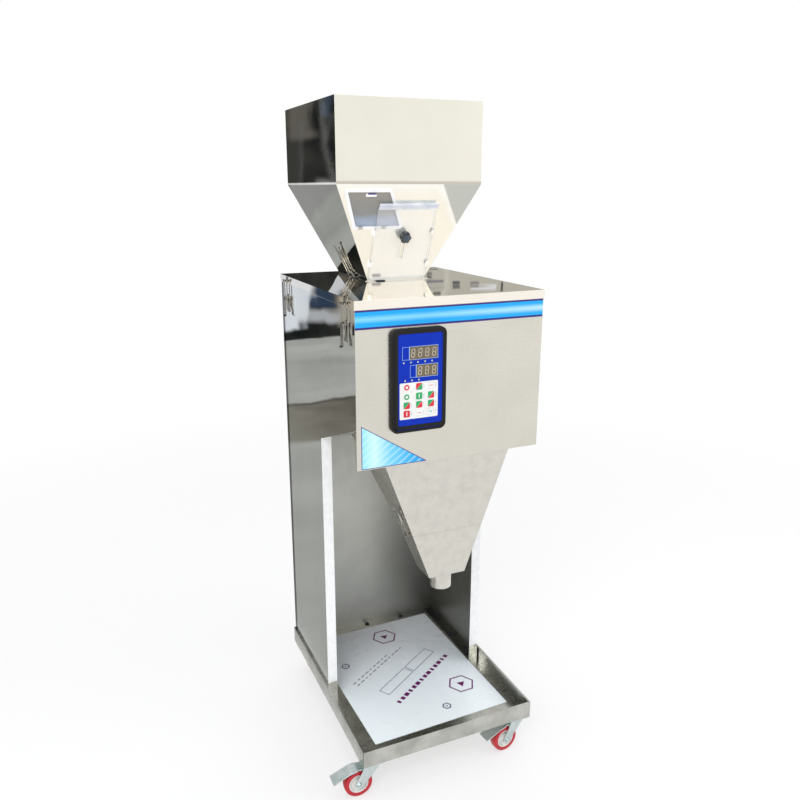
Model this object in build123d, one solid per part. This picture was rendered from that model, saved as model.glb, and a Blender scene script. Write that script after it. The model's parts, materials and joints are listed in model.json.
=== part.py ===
from build123d import *
import math
import os

os.makedirs("parts", exist_ok=True)

# Auger powder filler on four swivel casters. Millimetres, +Z up, the front faces -Y.
# The origin lies on the floor, at the centre of the machine's footprint.

# Sheet metal and fits
sheet = 1.5                 # wall of the stainless sheets
lap = 0.3                   # gap between sheets that lap over each other
running = 0.05              # radial clearance round pins, studs and shafts
hinge_gap = 0.3             # side clearance between parts that turn

# Casters
wheel_radius = 37.5
wheel_width = 24
hub_width = 27
hub_gap = 1.5               # between the hub and the fork
tread_thickness = 9.5
axle_radius = 4
axle_end = 3
nut_radius = 7
nut_thickness = 4
caster_headroom = 25        # from the wheel's top to the tray
caster_inset = 31
caster_trail = 36
caster_plate_half = 31
caster_plate_thickness = 2.5
bolt_hole_radius = 3.2
bolt_hole_offset = 23
race_radius = 22
race_height = 3.2
crown_radius = 23
crown_height = 9.5
yoke_front = 16
yoke_back = 22
king_pin_radius = 8
rivet_radius = 11
rivet_height = 2.2
fork_thickness = 2.5
pedal_pin_radius = 2.5
pedal_pin_x = 20
pedal_pin_drop = 6          # below the crown
pedal_arm = 40
pedal_reach = 84
pedal_fall = 17
pedal_thickness = 2.7
caster_turns = {"front_left": 178, "front_right": 187, "rear_left": 335, "rear_right": 2}

# Tray
tray_depth = 618
tray_middle = -29           # its centre in y
tray_overhang = 5.5         # beyond each side panel
tray_wall = 45
tray_lip = 5

# Column and head, bent from the two side panels
body_half = 238.5
back_inset = 2              # from the tray's rear edge to the back
column_depth = 326
column_height = 778
head_depth = 587
head_height = 386
nose_rise = 95              # from the head's underside to the side panels' front corner
cover_rim = 20
post_width = 27
foot_width = 25
front_return = 8

# Loose plate under its protective film
plate_clearance = 21        # across, between the posts
plate_back_gap = 28
plate_front_gap = 76
plate_thickness = 1
plate_turn = 1.5
plate_side_gap = 1

# Hopper
hopper_half = 193
hopper_run = 97             # reach of the front and back slopes
hopper_rise = 240
hopper_wall = 196
mouth_half = 79.5
mouth_length = 220
mouth_back_gap = 37         # from the mouth to the back
neck_depth = 19
neck_gap = 1                # round the neck, inside the trough's collar
seat_width = 9

# Sight window on the hopper's front slope, set out from the slope's left edge
window_rise = 141           # above the mouth
window_height = 81
window_gap_top = 22.5
window_gap_bottom = 14.2
window_width_top = 108
window_width_bottom = 117
window_frame_width = 8
window_frame_thickness = 2
window_pane_thickness = 1.5
window_lap = 5              # sheet left under the pane's edge

# Gate plate, which sets how much powder reaches the auger
gate_half = 80
gate_rise = 4               # above the mouth
gate_height = 179
gate_thickness = 3
gate_standoff = 3
gate_pull_width = 18
gate_pull_angle = 23
gate_travel = 60
knob_rise = 117
knob_radius = 13
knob_lobes = 6
knob_depth = 16
knob_hollow = 4             # radius of the finger hollows
stud_radius = 4
slot_margin = 1
clip_length = 14
clip_hook = 6
clip_wall = 2
clip_rise = 40              # from the gate's foot up to the lower pair of clips
clip_above_knob = 8

# Auger, trough and drive
auger_drop = 134            # below the head's top
auger_radius = 33
auger_pitch = 56
auger_gap = 4               # between the flight and the trough
auger_end_gap = 8           # between the flight's ends and the trough's end walls
flight_thickness = 3
flight_root = 1             # depth of the flight in its shaft
shaft_radius = 9
trough_headroom = 3         # above the trough's half round
spout_inset = 31            # from the bucket's front edge
spout_length = 50
spout_side_gap = 7
spout_drop = 6.5            # below the trough
spout_end_gap = 4
bearing_radius = 18
bearing_length = 12
inlet_end_gap = 5           # between the inlet and the trough's rear end
gearbox_half = 32
gearbox_length = 45
gearbox_corner = 6
gearbox_wall = 6            # left behind the hollow shaft's bore
shaft_end_gap = 2
motor_radius = 28
motor_length = 56
drive_gap = 9.5             # from the motor to the back
lead_box_half = 14
lead_box_height = 10
lead_box_front = 6
lead_box_back = 10
beam_size = 25
beam_gap = 53               # from the bucket's rear edge to the front beam's middle
beam_inset = 58             # from the trough's rear end to the rear beam's middle

# Weighing
bucket_gap = 7              # under the spout
bucket_height = 94
bucket_front_gap = 66       # from the head's front
bucket_depth = 118
bucket_top_half = 70
bucket_side_taper = 10
bucket_taper = 8
cell_length = 84
cell_half = 12
cell_height = 22
cell_packer = 2.5
cell_hole_radius = 7
cell_hole_offset = 9        # from the middle of the thinned part
cell_slot = 5
cell_thinned_at = 35        # from the cell's bolted front end
flap_pin_radius = 3
flap_pin_drop = 4
flap_pin_back = 5           # behind the bucket's rear wall
flap_thickness = 1.5
flap_gap = 0.5
flap_margin = 2             # flap past the bucket's edge
flap_rib_inset = 20
ear_gap = 4
ear_half = 6
ear_rise = 30
ear_bridge = 7
flap_motor_radius = 15
flap_motor_length = 34
flap_motor_bore = 20

# Discharge funnel and its lower tip
funnel_drop = 314           # from the head's underside to the tip's end
funnel_front_gap = 10       # behind the head's front
funnel_side_gap = 72.5      # at the head's underside
funnel_top_depth = 200
funnel_seam_depth = 92
funnel_end_depth = 71
funnel_end_half = 49
tip_height = 121
tip_collar = 12             # collar of the tip that enters the funnel by half as much
outlet_radius = 26.5
outlet_length = 44

# Control unit
bezel_offset = 85.5         # from the head's left side
bezel_drop = 67             # from the head's top
bezel_width = 132
bezel_height = 233
bezel_depth = 12
bezel_corner = 15
bezel_edge = 11
membrane_depth = 0.8
bezel_chamfer = 3
overlay_corner = 6
case_depth = 45
case_margin = 12

# Draw latches. Those on the hopper and the funnel are of a smaller size.
small_latch = 0.85
latch_plate_thickness = 1.5
latch_half = 12
latch_plate_low = -40
latch_plate_high = 8
latch_corner = 3
latch_pivot_out = 8
latch_pin_radius = 1.4
latch_pin_end = 0.5
ear_radius = 3.2
ear_inner = 6
ear_thickness = 1.2
cheek_inner = 7.6
bail_in = 1.5               # the bail's pivot lies this much nearer the panel
bail_down = 9.3
bail_length = 55.3
bail_half = 11
bail_bend = 1.6
handle_out = 3              # from the pivot to the handle's outer face
handle_low = -50
handle_top = -6
handle_curl = 4
cheek_foot = 12             # from the handle's end up to the cheeks
keeper_half = 8.5
keeper_reach = 12.3         # leaves the bail room to swing out past the lip
keeper_lip = 4
keeper_plate = 11           # plate beyond the bail's bar
keeper_lift = 0.5           # from the cover up to the hopper keeper's plate
keeper_extra = 6            # the hopper keeper's plate is longer, so that the open bail clears the cover
keeper_tail = 14            # its foot on the cover
latch_drop = 57             # from the head's top edge down to the lever's pivot
latch_front_gap = 54        # from the head's front
latch_back_gap = 67         # from the back
funnel_latch_gap = 27       # from the funnel's front
funnel_tab_drop = 1         # keeper's tab below the funnel's seam

# Rear side
rear_cover_rise = 22        # above the head's underside
louvre_rows = 7
louvre_columns = 3
louvre_length = 70
louvre_height = 5
louvre_pitch = 16
louvre_gap = 42             # between the columns of slots
inlet_offset = 88.5         # from the left side
inlet_drop = 28             # below the head's underside
inlet_width = 48
inlet_height = 60
inlet_depth = 4
inlet_corner = 4
inlet_floor = 1             # plate left behind the sockets
socket_drop = 12
socket_half_width = 12
socket_half_height = 8
blade_spacing = 7
blade_half = 1
rocker_rise = 15
rocker_width = 22
rocker_height = 14
rocker_gap = 1
rocker_thickness = 3
rocker_boss = 1.5
rocker_tilt = 10

# Places worked out from the sizes above
tray_bottom = 2 * wheel_radius + caster_headroom
tray_floor = tray_bottom + sheet
tray_half = body_half + tray_overhang
tray_front = tray_middle - tray_depth / 2
tray_back = tray_middle + tray_depth / 2
body_back = tray_back - back_inset
post_front = body_back - column_depth
head_front = body_back - head_depth
head_bottom = tray_bottom + column_height
head_nose = head_bottom + nose_rise
head_top = head_bottom + head_height
nose_slope = nose_rise / (post_front - head_front)
panel_inner = body_half - sheet
cover_half = body_half + lap + sheet
cover_under = head_top - sheet
rear_cover_bottom = head_bottom + rear_cover_rise
plate_back = body_back - plate_back_gap
plate_length = plate_back - tray_front - plate_front_gap
plate_width = 2 * (body_half - post_width) - plate_clearance

mouth_back = body_back - mouth_back_gap
mouth_front = mouth_back - mouth_length
hopper_front = mouth_front - hopper_run
hopper_back = mouth_back + hopper_run
hopper_middle = (hopper_front + hopper_back) / 2
hopper_fold = head_top + hopper_rise
hopper_top = hopper_fold + hopper_wall
hopper_splay = (hopper_half - mouth_half) / hopper_rise
slope_angle = math.degrees(math.atan2(hopper_run, hopper_rise))
window_bottom = head_top + window_rise
window_top = window_bottom + window_height
gate_bottom = head_top + gate_rise
gate_top = gate_bottom + gate_height
knob_height = head_top + knob_rise

auger_height = head_top - auger_drop
trough_radius = auger_radius + auger_gap
trough_lid = trough_radius + trough_headroom
trough_under = auger_height - trough_radius - sheet
bucket_front = head_front + bucket_front_gap
bucket_back = bucket_front + bucket_depth
bucket_bottom_half = bucket_top_half - bucket_side_taper
spout_front = bucket_front + spout_inset
spout_back = spout_front + spout_length
spout_half = trough_radius - spout_side_gap
spout_bottom = trough_under - spout_drop
bucket_top = spout_bottom - bucket_gap
bucket_bottom = bucket_top - bucket_height
trough_front = spout_front - spout_end_gap
trough_back = body_back - drive_gap - motor_length - gearbox_length - sheet
beam_front = bucket_back + beam_gap
beam_back = trough_back - beam_inset
cell_top = trough_under - beam_size - cell_packer
flap_pin_y = bucket_back - bucket_taper + flap_pin_back
flap_pin_z = bucket_bottom - flap_pin_drop

funnel_bottom = head_bottom - funnel_drop
funnel_seam = funnel_bottom + tip_height
outlet_bottom = funnel_bottom - outlet_length
funnel_front = head_front + funnel_front_gap
funnel_flare = (body_half - funnel_side_gap - funnel_end_half) / funnel_drop
funnel_lean = (funnel_top_depth - funnel_seam_depth) / (funnel_drop - tip_height)
tip_lean = (funnel_seam_depth - funnel_end_depth) / tip_height

bezel_left = -body_half + bezel_offset
bezel_bottom = head_top - bezel_drop - bezel_height
inlet_x = -body_half + inlet_offset
inlet_z = head_bottom - inlet_drop
rocker_z = inlet_z + rocker_rise

pivot_in = latch_pivot_out - bail_in
tab_top = bail_length - bail_down - latch_pin_radius - lap
tab_low = tab_top - latch_plate_thickness
keeper_foot = keeper_half * small_latch

rim_radius = wheel_radius - tread_thickness
fork_inner = hub_width / 2 + hub_gap
fork_outer = fork_inner + fork_thickness
crown_low = tray_bottom - caster_plate_thickness - race_height - hinge_gap - crown_height
pedal_pin_z = crown_low - pedal_pin_drop


def block(x0, x1, y0, y1, z0, z1):
    return Pos((x0 + x1) / 2, (y0 + y1) / 2, (z0 + z1) / 2) * Box(x1 - x0, y1 - y0, z1 - z0)


def rod(start, end, radius):
    """Round bar between two points."""
    a, b = Vector(*start), Vector(*end)
    face = Plane(origin=a, z_dir=b - a) * Circle(radius)
    return extrude(face, amount=(b - a).length)


def side_profile(points, x0, x1):
    """Solid from a closed outline of (y, z) points between two x values."""
    face = Plane.YZ * make_face(Polyline(*points, close=True))
    return Pos(x0, 0, 0) * extrude(face, amount=x1 - x0)


def front_profile(points, y0, y1):
    """Solid from a closed outline of (x, z) points between two y values."""
    face = Plane.XZ * make_face(Polyline(*points, close=True))
    return Pos(0, y1, 0) * extrude(face, amount=y1 - y0)


def taper(low, high, inset=0.0):
    """Four-sided taper between two level rectangles (half width, front, back, height)."""
    sections = []
    for half, front, back, height in (low, high):
        flat = Rectangle(2 * (half - inset), back - front - 2 * inset)
        sections.append(Plane.XY.offset(height) * Pos(0, (front + back) / 2) * flat)
    return loft(sections)


def tapered_tube(low, high):
    return taper(low, high) - taper(low, high, sheet)


def mirrored(shape):
    return mirror(shape, about=Plane.YZ)


def save(name, *solids):
    export_step(Compound(label=name, children=list(solids)), f"parts/{name}.step")


# Tray and the plate lying in it

def base_tray():
    half = tray_half
    outer = block(-half, half, tray_front, tray_back, tray_bottom, tray_bottom + tray_wall)
    inner = block(-half + sheet, half - sheet, tray_front + sheet, tray_back - sheet,
                  tray_floor, tray_bottom + tray_wall - sheet)
    mouth = block(-half + tray_lip, half - tray_lip, tray_front + tray_lip, tray_back - sheet,
                  tray_floor, tray_bottom + tray_wall + 1)
    corners = outer.edges().filter_by(Axis.Z)
    return fillet(corners, 2 * sheet) - inner - mouth


def film_plate():
    corner_x = body_half - post_width - plate_side_gap
    flat = Pos(-plate_width / 2, plate_back - post_front - plate_length / 2) * Rectangle(plate_width, plate_length)
    turned = Pos(corner_x, post_front) * Rot(0, 0, plate_turn) * flat
    return Pos(0, 0, tray_floor) * extrude(turned, amount=plate_thickness)


# Column and head

def side_panel():
    """Left side: one sheet with the front post, foot, front and top flanges folded in."""
    wall = side_profile([
        (post_front, tray_floor), (body_back, tray_floor), (body_back, cover_under),
        (head_front + sheet, cover_under), (head_front + sheet, head_nose), (post_front, head_bottom),
    ], -body_half, -panel_inner)
    post = block(-body_half, -body_half + post_width, post_front, post_front + sheet,
                 tray_floor, head_bottom)
    foot = block(-body_half, -body_half + foot_width, post_front, body_back - sheet,
                 tray_floor, tray_floor + sheet)
    return wall + post + foot


def back_panel():
    wall = block(-panel_inner, panel_inner, body_back - sheet, body_back, tray_floor, rear_cover_bottom)
    foot = block(-body_half + foot_width, body_half - foot_width, body_back - foot_width,
                 body_back - sheet, tray_floor, tray_floor + sheet)
    return wall + foot


def rear_cover():
    plate = block(-panel_inner, panel_inner, body_back - sheet, body_back, rear_cover_bottom, cover_under)
    slot = extrude(Plane.XZ * SlotOverall(louvre_length, louvre_height), amount=3 * sheet, both=True)
    middle = (rear_cover_bottom + cover_under) / 2
    for column in range(louvre_columns):
        x = (column - (louvre_columns - 1) / 2) * (louvre_length + louvre_gap)
        for row in range(louvre_rows):
            z = middle + (row - (louvre_rows - 1) / 2) * louvre_pitch
            plate -= Pos(x, body_back, z) * slot
    return plate


def front_panel():
    """Hanging front sheet with a return along each side and the bottom."""
    outer = block(-body_half, body_half, head_front, head_front + front_return, head_bottom, cover_under)
    inner = block(-panel_inner, panel_inner, head_front + sheet, head_front + front_return + 1,
                  head_bottom + sheet, cover_under + 1)
    side_gap = block(-body_half - 1, body_half + 1, head_front + sheet, head_front + front_return + 1,
                     floor_line(head_front + 2 * front_return), cover_under + 1)
    window = control_case(lap / 2)
    return outer - inner - side_gap - window


def control_case(extra=0.0):
    """Electronics case behind the front panel, grown by extra all round."""
    return block(bezel_left + case_margin - extra, bezel_left + bezel_width - case_margin + extra,
                 head_front - extra, head_front + case_depth,
                 bezel_bottom + case_margin - extra, bezel_bottom + bezel_height - case_margin + extra)


def floor_line(y):
    return head_bottom + max(0.0, post_front - y) * nose_slope


def funnel_section(height, inset=0.0):
    """Level rectangle of the funnel's outside at a height, moved in by inset."""
    half = funnel_end_half + (height - funnel_bottom) * funnel_flare
    lean = funnel_lean if height > funnel_seam else tip_lean
    back = funnel_front + funnel_seam_depth + (height - funnel_seam) * lean
    return (half - inset, funnel_front + inset, back - inset, height)


def funnel_taper(inset):
    return taper(funnel_section(funnel_seam), funnel_section(head_nose + foot_width), inset)


def head_floor():
    front = head_front + sheet
    plate = side_profile([
        (body_back - sheet, head_bottom), (post_front, head_bottom), (front, floor_line(front)),
        (front, floor_line(front) + sheet), (post_front, head_bottom + sheet),
        (body_back - sheet, head_bottom + sheet),
    ], -panel_inner, panel_inner)
    return plate - funnel_taper(sheet)


def top_cover():
    outer = block(-cover_half, cover_half, head_front - lap - sheet, body_back + lap + sheet,
                  head_top - cover_rim, head_top)
    inner = block(-body_half - lap, body_half + lap, head_front - lap, body_back + lap,
                  head_top - cover_rim - 1, cover_under)
    hole = block(-mouth_half - lap, mouth_half + lap, mouth_front - lap, mouth_back + lap,
                 cover_under - 1, head_top + 1)
    return outer - inner - hole


# Hopper, window and gate

def hopper():
    bin_low = (hopper_half, hopper_front, hopper_back, hopper_fold)
    mouth = (mouth_half, mouth_front, mouth_back, head_top)
    box = tapered_tube(bin_low, (hopper_half, hopper_front, hopper_back, hopper_top))
    slopes = tapered_tube(mouth, bin_low)
    neck = tapered_tube((mouth_half, mouth_front, mouth_back, head_top - neck_depth), mouth)
    seat = block(-mouth_half - seat_width, mouth_half + seat_width, mouth_front - seat_width,
                 mouth_back + seat_width, head_top, head_top + sheet)
    seat -= taper(mouth, bin_low)
    seat -= block(-hopper_half, hopper_half, hopper_middle - keeper_foot - neck_gap,
                  hopper_middle + keeper_foot + neck_gap, head_top - 1, head_top + 2 * sheet) - taper(mouth, bin_low)
    stud_length = gate_standoff + gate_thickness + knob_depth
    stud = slope_plane(knob_height) * Cylinder(stud_radius, stud_length, align=ON_FACE)
    sight = slope_plane(window_bottom) * extrude(window_outline(-window_lap), amount=2 * sheet, both=True)
    return box + slopes + neck + seat + stud - sight


ON_FACE = (Align.CENTER, Align.CENTER, Align.MIN)


def slope_plane(height, x=0.0):
    """Plane on the front slope at a height: local x is +X, local y points up the slope."""
    y = mouth_front - (height - head_top) / hopper_rise * hopper_run
    lean = math.radians(slope_angle)
    normal = Vector(0, -math.cos(lean), -math.sin(lean))
    return Plane(origin=(x, y, height), x_dir=(1, 0, 0), z_dir=normal)


def slope_half(height):
    """Half width of the front slope at a height."""
    return mouth_half + (height - head_top) * hopper_splay


def slope_distance(low, high):
    return (high - low) / math.cos(math.radians(slope_angle))


def window_outline(grow):
    rise = slope_distance(window_bottom, window_top)
    bottom_left = window_gap_bottom - slope_half(window_bottom)
    top_left = window_gap_top - slope_half(window_top)
    points = [(bottom_left, 0), (bottom_left + window_width_bottom, 0),
              (top_left + window_width_top, rise), (top_left, rise)]
    face = make_face(Polyline(*points, close=True))
    if grow:
        face = offset(face, grow, kind=Kind.ARC)
    return face


def window_frame():
    base = slope_plane(window_bottom)
    ring = window_outline(window_frame_width) - window_outline(0)
    return base * extrude(ring, amount=window_frame_thickness)


def window_pane():
    return slope_plane(window_bottom) * extrude(window_outline(0), amount=window_pane_thickness)


def gate_plate():
    rise = slope_distance(gate_bottom, gate_top)
    stud_at = slope_distance(gate_bottom, knob_height)
    base = slope_plane(gate_bottom)
    plate = Pos(0, rise / 2, gate_standoff) * Box(2 * gate_half, rise, gate_thickness, align=ON_FACE)
    slot_half = stud_radius + slot_margin
    slot_length = gate_travel + 2 * slot_half
    slot = Pos(0, stud_at - gate_travel / 2) * Rot(0, 0, 90) * SlotOverall(slot_length, 2 * slot_half)
    plate -= extrude(slot, amount=gate_standoff + 2 * gate_thickness)
    pull = Pos(0, rise, gate_standoff) * Rot(gate_pull_angle, 0, 0) * Box(
        2 * gate_half, gate_pull_width, gate_thickness, align=(Align.CENTER, Align.MIN, Align.MIN))
    return base * (plate + pull)


def gate_clips():
    """Four hooks that hold the gate plate's edges against the slope."""
    clips = []
    over_low = gate_standoff + gate_thickness + lap
    for height in (gate_bottom + clip_rise, knob_height + clip_above_knob):
        for side in (-1, 1):
            foot = Box(clip_wall, clip_length, over_low + clip_wall,
                       align=(Align.MIN, Align.CENTER, Align.MIN))
            over = Pos(clip_wall, 0, over_low) * Box(
                clip_hook + clip_wall, clip_length, clip_wall, align=(Align.MAX, Align.CENTER, Align.MIN))
            clip = Pos(gate_half + lap, 0, 0) * (foot + over)
            if side < 0:
                clip = mirrored(clip)
            clips.append(slope_plane(height) * clip)
    return clips


def gate_knob():
    head = Cylinder(knob_radius, knob_depth, align=ON_FACE)
    for spot in PolarLocations(knob_radius + knob_hollow / 2, knob_lobes):
        head -= spot * Cylinder(knob_hollow, 3 * knob_depth)
    head -= Cylinder(stud_radius + running, 3 * knob_depth)
    lift = gate_standoff + gate_thickness + lap
    return slope_plane(knob_height) * Pos(0, 0, lift) * head


# Trough, auger and drive

def trough_section(radius, lid):
    arc = Pos(0, auger_height) * Circle(radius)
    upper = Pos(0, auger_height + lid / 2) * Rectangle(2 * radius, lid)
    return arc + upper


def trough_solid(radius, lid, y0, y1):
    return Pos(0, y1, 0) * extrude(Plane.XZ * trough_section(radius, lid), amount=y1 - y0)


def feed_trough():
    lid_top = auger_height + trough_lid
    body = trough_solid(trough_radius + sheet, trough_lid, trough_front - sheet, trough_back + sheet)
    grow = sheet + neck_gap
    collar_low = head_top - neck_depth - neck_gap
    inlet_low = (trough_radius + sheet, mouth_front - sheet, trough_back - inlet_end_gap, lid_top)
    inlet_high = (mouth_half + grow, mouth_front - grow, mouth_back + grow, collar_low)
    collar = (mouth_half + grow, mouth_front - grow, mouth_back + grow, cover_under)
    body += taper(inlet_low, inlet_high) + taper(inlet_high, collar)
    body += block(-spout_half - sheet, spout_half + sheet, spout_front - sheet, spout_back + sheet,
                  spout_bottom, auger_height)
    body += rod((0, trough_front - sheet - bearing_length, auger_height), (0, trough_front, auger_height),
                bearing_radius)
    body -= trough_solid(trough_radius, trough_lid - sheet, trough_front, trough_back)
    body -= taper(inlet_low, inlet_high, sheet) + taper(inlet_high, collar, sheet)
    body -= block(-trough_radius, trough_radius, mouth_front, trough_back - inlet_end_gap - sheet,
                  auger_height, lid_top + 1)
    body -= block(-spout_half, spout_half, spout_front, spout_back, spout_bottom - 1, auger_height)
    body -= rod((0, trough_front - 2 * bearing_length, auger_height), (0, trough_back + 2 * sheet, auger_height),
                shaft_radius + running)
    return body


def auger():
    start = trough_front + auger_end_gap
    length = trough_back - auger_end_gap - start
    root = shaft_radius - flight_root
    blade = Plane.XZ * Pos((root + auger_radius) / 2, 0) * Rectangle(auger_radius - root, flight_thickness)
    path = Helix(pitch=auger_pitch, height=length, radius=root)
    flight = sweep(blade, path=path, is_frenet=True)
    shaft_front = trough_front - sheet - bearing_length + 1
    shaft_back = trough_back + sheet + gearbox_length - gearbox_wall - shaft_end_gap
    shaft = rod((0, shaft_front, auger_height), (0, shaft_back, auger_height), shaft_radius)
    flight = Pos(0, start + length, auger_height) * Rot(90, 0, 0) * flight
    return shaft + flight


def gear_motor():
    y0 = trough_back + sheet
    y1 = y0 + gearbox_length
    box = block(-gearbox_half, gearbox_half, y0, y1, auger_height - gearbox_half, auger_height + gearbox_half)
    box = fillet(box.edges().filter_by(Axis.Y), gearbox_corner)
    can = rod((0, y1, auger_height), (0, y1 + motor_length, auger_height), motor_radius)
    lead_box = block(-lead_box_half, lead_box_half, y1 + lead_box_front, y1 + motor_length - lead_box_back,
                     auger_height, auger_height + motor_radius + lead_box_height)
    bore = rod((0, y0 - 1, auger_height), (0, y1 - gearbox_wall, auger_height), shaft_radius + running)
    return box + can + lead_box - bore


def cross_beams():
    """Two square tubes that carry the trough, and the packer that carries the load cell."""
    top = trough_under
    beams = []
    for y in (beam_front, beam_back):
        outer = block(-panel_inner, panel_inner, y - beam_size / 2, y + beam_size / 2, top - beam_size, top)
        inner = block(-panel_inner - 1, panel_inner + 1, y - beam_size / 2 + sheet, y + beam_size / 2 - sheet,
                      top - beam_size + sheet, top - sheet)
        beams.append(outer - inner)
    under = top - beam_size
    packer = block(-cell_half, cell_half, beam_front - beam_size / 2, beam_front + beam_size / 2,
                   under - cell_packer, under)
    beams.append(packer)
    return beams


def load_cell():
    """Aluminium beam with the two joined holes that let its middle bend."""
    front = bucket_back + sheet
    top = cell_top
    bar = block(-cell_half, cell_half, front, front + cell_length, top - cell_height, top)
    middle = front + cell_thinned_at
    height = top - cell_height / 2
    for y in (middle - cell_hole_offset, middle + cell_hole_offset):
        bar -= rod((-cell_half - 1, y, height), (cell_half + 1, y, height), cell_hole_radius)
    bar -= block(-cell_half - 1, cell_half + 1, middle - cell_hole_offset, middle + cell_hole_offset,
                 height - cell_slot / 2, height + cell_slot / 2)
    return bar


def weigh_bucket():
    low = (bucket_bottom_half, bucket_front + bucket_taper, bucket_back - bucket_taper, bucket_bottom)
    high = (bucket_top_half, bucket_front, bucket_back, bucket_top)
    body = tapered_tube(low, high)
    top = cell_top
    hanger = block(-cell_half, cell_half, bucket_back - bucket_taper, bucket_back + sheet,
                   top - cell_height, top)
    body += hanger - taper(low, high, sheet / 2)
    pin_y, pin_z = flap_pin_y, flap_pin_z
    inner = bucket_bottom_half + ear_gap
    ear = block(inner, inner + 2 * sheet, pin_y - ear_half, pin_y + ear_half, pin_z - ear_half,
                bucket_bottom + ear_rise)
    bridge = block(bucket_bottom_half - sheet / 2, inner + sheet, pin_y - ear_half,
                   bucket_back - bucket_taper - sheet / 2, bucket_bottom + 1, bucket_bottom + 1 + ear_bridge)
    body += ear + bridge + mirrored(ear + bridge)
    wide = 2 * bucket_top_half
    body -= rod((-wide, pin_y, pin_z), (wide, pin_y, pin_z), flap_pin_radius + running)
    return body


def bucket_flap():
    top = bucket_bottom - flap_gap
    pin_y, pin_z = flap_pin_y, flap_pin_z
    plate = block(-bucket_bottom_half - flap_margin, bucket_bottom_half + flap_margin,
                  bucket_front + bucket_taper - flap_margin, pin_y, top - flap_thickness, top)
    rib = block(-bucket_bottom_half + flap_rib_inset, bucket_bottom_half - flap_rib_inset,
                bucket_front + 2 * bucket_taper, pin_y, pin_z - 1, top - flap_thickness / 2)
    ears_outer = bucket_bottom_half + ear_gap + 2 * sheet
    pin = rod((-ears_outer - flap_margin, pin_y, pin_z),
              (ears_outer + flap_motor_bore - flap_margin, pin_y, pin_z), flap_pin_radius)
    return plate + rib + pin


def flap_motor():
    x0 = bucket_bottom_half + ear_gap + 2 * sheet
    y, z = flap_pin_y, flap_pin_z
    can = rod((x0, y, z), (x0 + flap_motor_length, y, z), flap_motor_radius)
    return can - rod((x0 - 1, y, z), (x0 + flap_motor_bore, y, z), flap_pin_radius + running)


# Discharge funnel

def discharge_funnel():
    tube = funnel_taper(0) - funnel_taper(sheet)
    front = head_front - foot_width
    above = side_profile([
        (front, floor_line(front)), (post_front, head_bottom), (body_back, head_bottom),
        (body_back, head_top), (front, head_top),
    ], -body_half, body_half)
    return tube - above


def funnel_tip():
    body = tapered_tube(funnel_section(funnel_bottom), funnel_section(funnel_seam - lap))
    tube_y = funnel_front + funnel_end_depth / 2
    end = block(-funnel_end_half, funnel_end_half, funnel_front, funnel_front + funnel_end_depth,
                funnel_bottom, funnel_bottom + sheet)
    outlet = rod((0, tube_y, outlet_bottom), (0, tube_y, funnel_bottom + sheet), outlet_radius)
    body += end + outlet
    body -= rod((0, tube_y, outlet_bottom - 1), (0, tube_y, funnel_bottom + 2 * sheet), outlet_radius - sheet)
    collar_low = funnel_section(funnel_seam - tip_collar, sheet - lap)
    collar_seam = funnel_section(funnel_seam, sheet + lap)
    collar_high = funnel_section(funnel_seam + tip_collar / 2, sheet + 2 * lap)
    return body + tapered_tube(collar_low, collar_seam) + tapered_tube(collar_seam, collar_high)


# Control unit

def control_housing():
    middle = (bezel_left + bezel_width / 2, bezel_bottom + bezel_height / 2)
    face = Plane((middle[0], head_front, middle[1]), x_dir=(1, 0, 0), z_dir=(0, -1, 0))
    bezel = extrude(face * RectangleRounded(bezel_width, bezel_height, bezel_corner), amount=bezel_depth)
    bezel = chamfer(bezel.faces().sort_by(Axis.Y)[0].edges(), bezel_chamfer)
    front = Plane((middle[0], head_front - bezel_depth, middle[1]), x_dir=(1, 0, 0), z_dir=(0, -1, 0))
    recess = front * RectangleRounded(bezel_width - 2 * bezel_edge, bezel_height - 2 * bezel_edge, overlay_corner)
    bezel -= extrude(recess, amount=-2 * membrane_depth)
    return bezel + control_case()


def control_membrane():
    middle = (bezel_left + bezel_width / 2, bezel_bottom + bezel_height / 2)
    plane = Plane((middle[0], head_front - bezel_depth + 2 * membrane_depth, middle[1]),
                  x_dir=(1, 0, 0), z_dir=(0, -1, 0))
    inner = 2 * (bezel_edge + lap)
    film = plane * RectangleRounded(bezel_width - inner, bezel_height - inner, overlay_corner)
    return extrude(film, amount=membrane_depth)


# Draw latches. Local x points out from the panel and local z from the lever to the keeper.

def local_profile(points, y0, y1):
    face = Plane.XZ * make_face(Polyline(*points, close=True))
    return Pos(0, y1, 0) * extrude(face, amount=y1 - y0)


def pair(maker, inner, outer):
    return maker(inner, outer) + maker(-outer, -inner)


def latch_base():
    plate = block(0, latch_plate_thickness, -latch_half, latch_half, latch_plate_low, latch_plate_high)
    plate = fillet(plate.edges().filter_by(Axis.X), latch_corner)

    def ear(y0, y1):
        arm = block(0, latch_pivot_out, y0, y1, -ear_radius, ear_radius)
        return arm + rod((latch_pivot_out, y0, 0), (latch_pivot_out, y1, 0), ear_radius)

    ears = pair(ear, ear_inner, ear_inner + ear_thickness)
    pin_end = cheek_inner + ear_thickness + latch_pin_end
    pin = rod((latch_pivot_out, -pin_end, 0), (latch_pivot_out, pin_end, 0), latch_pin_radius)
    return plate + ears + pin


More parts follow.
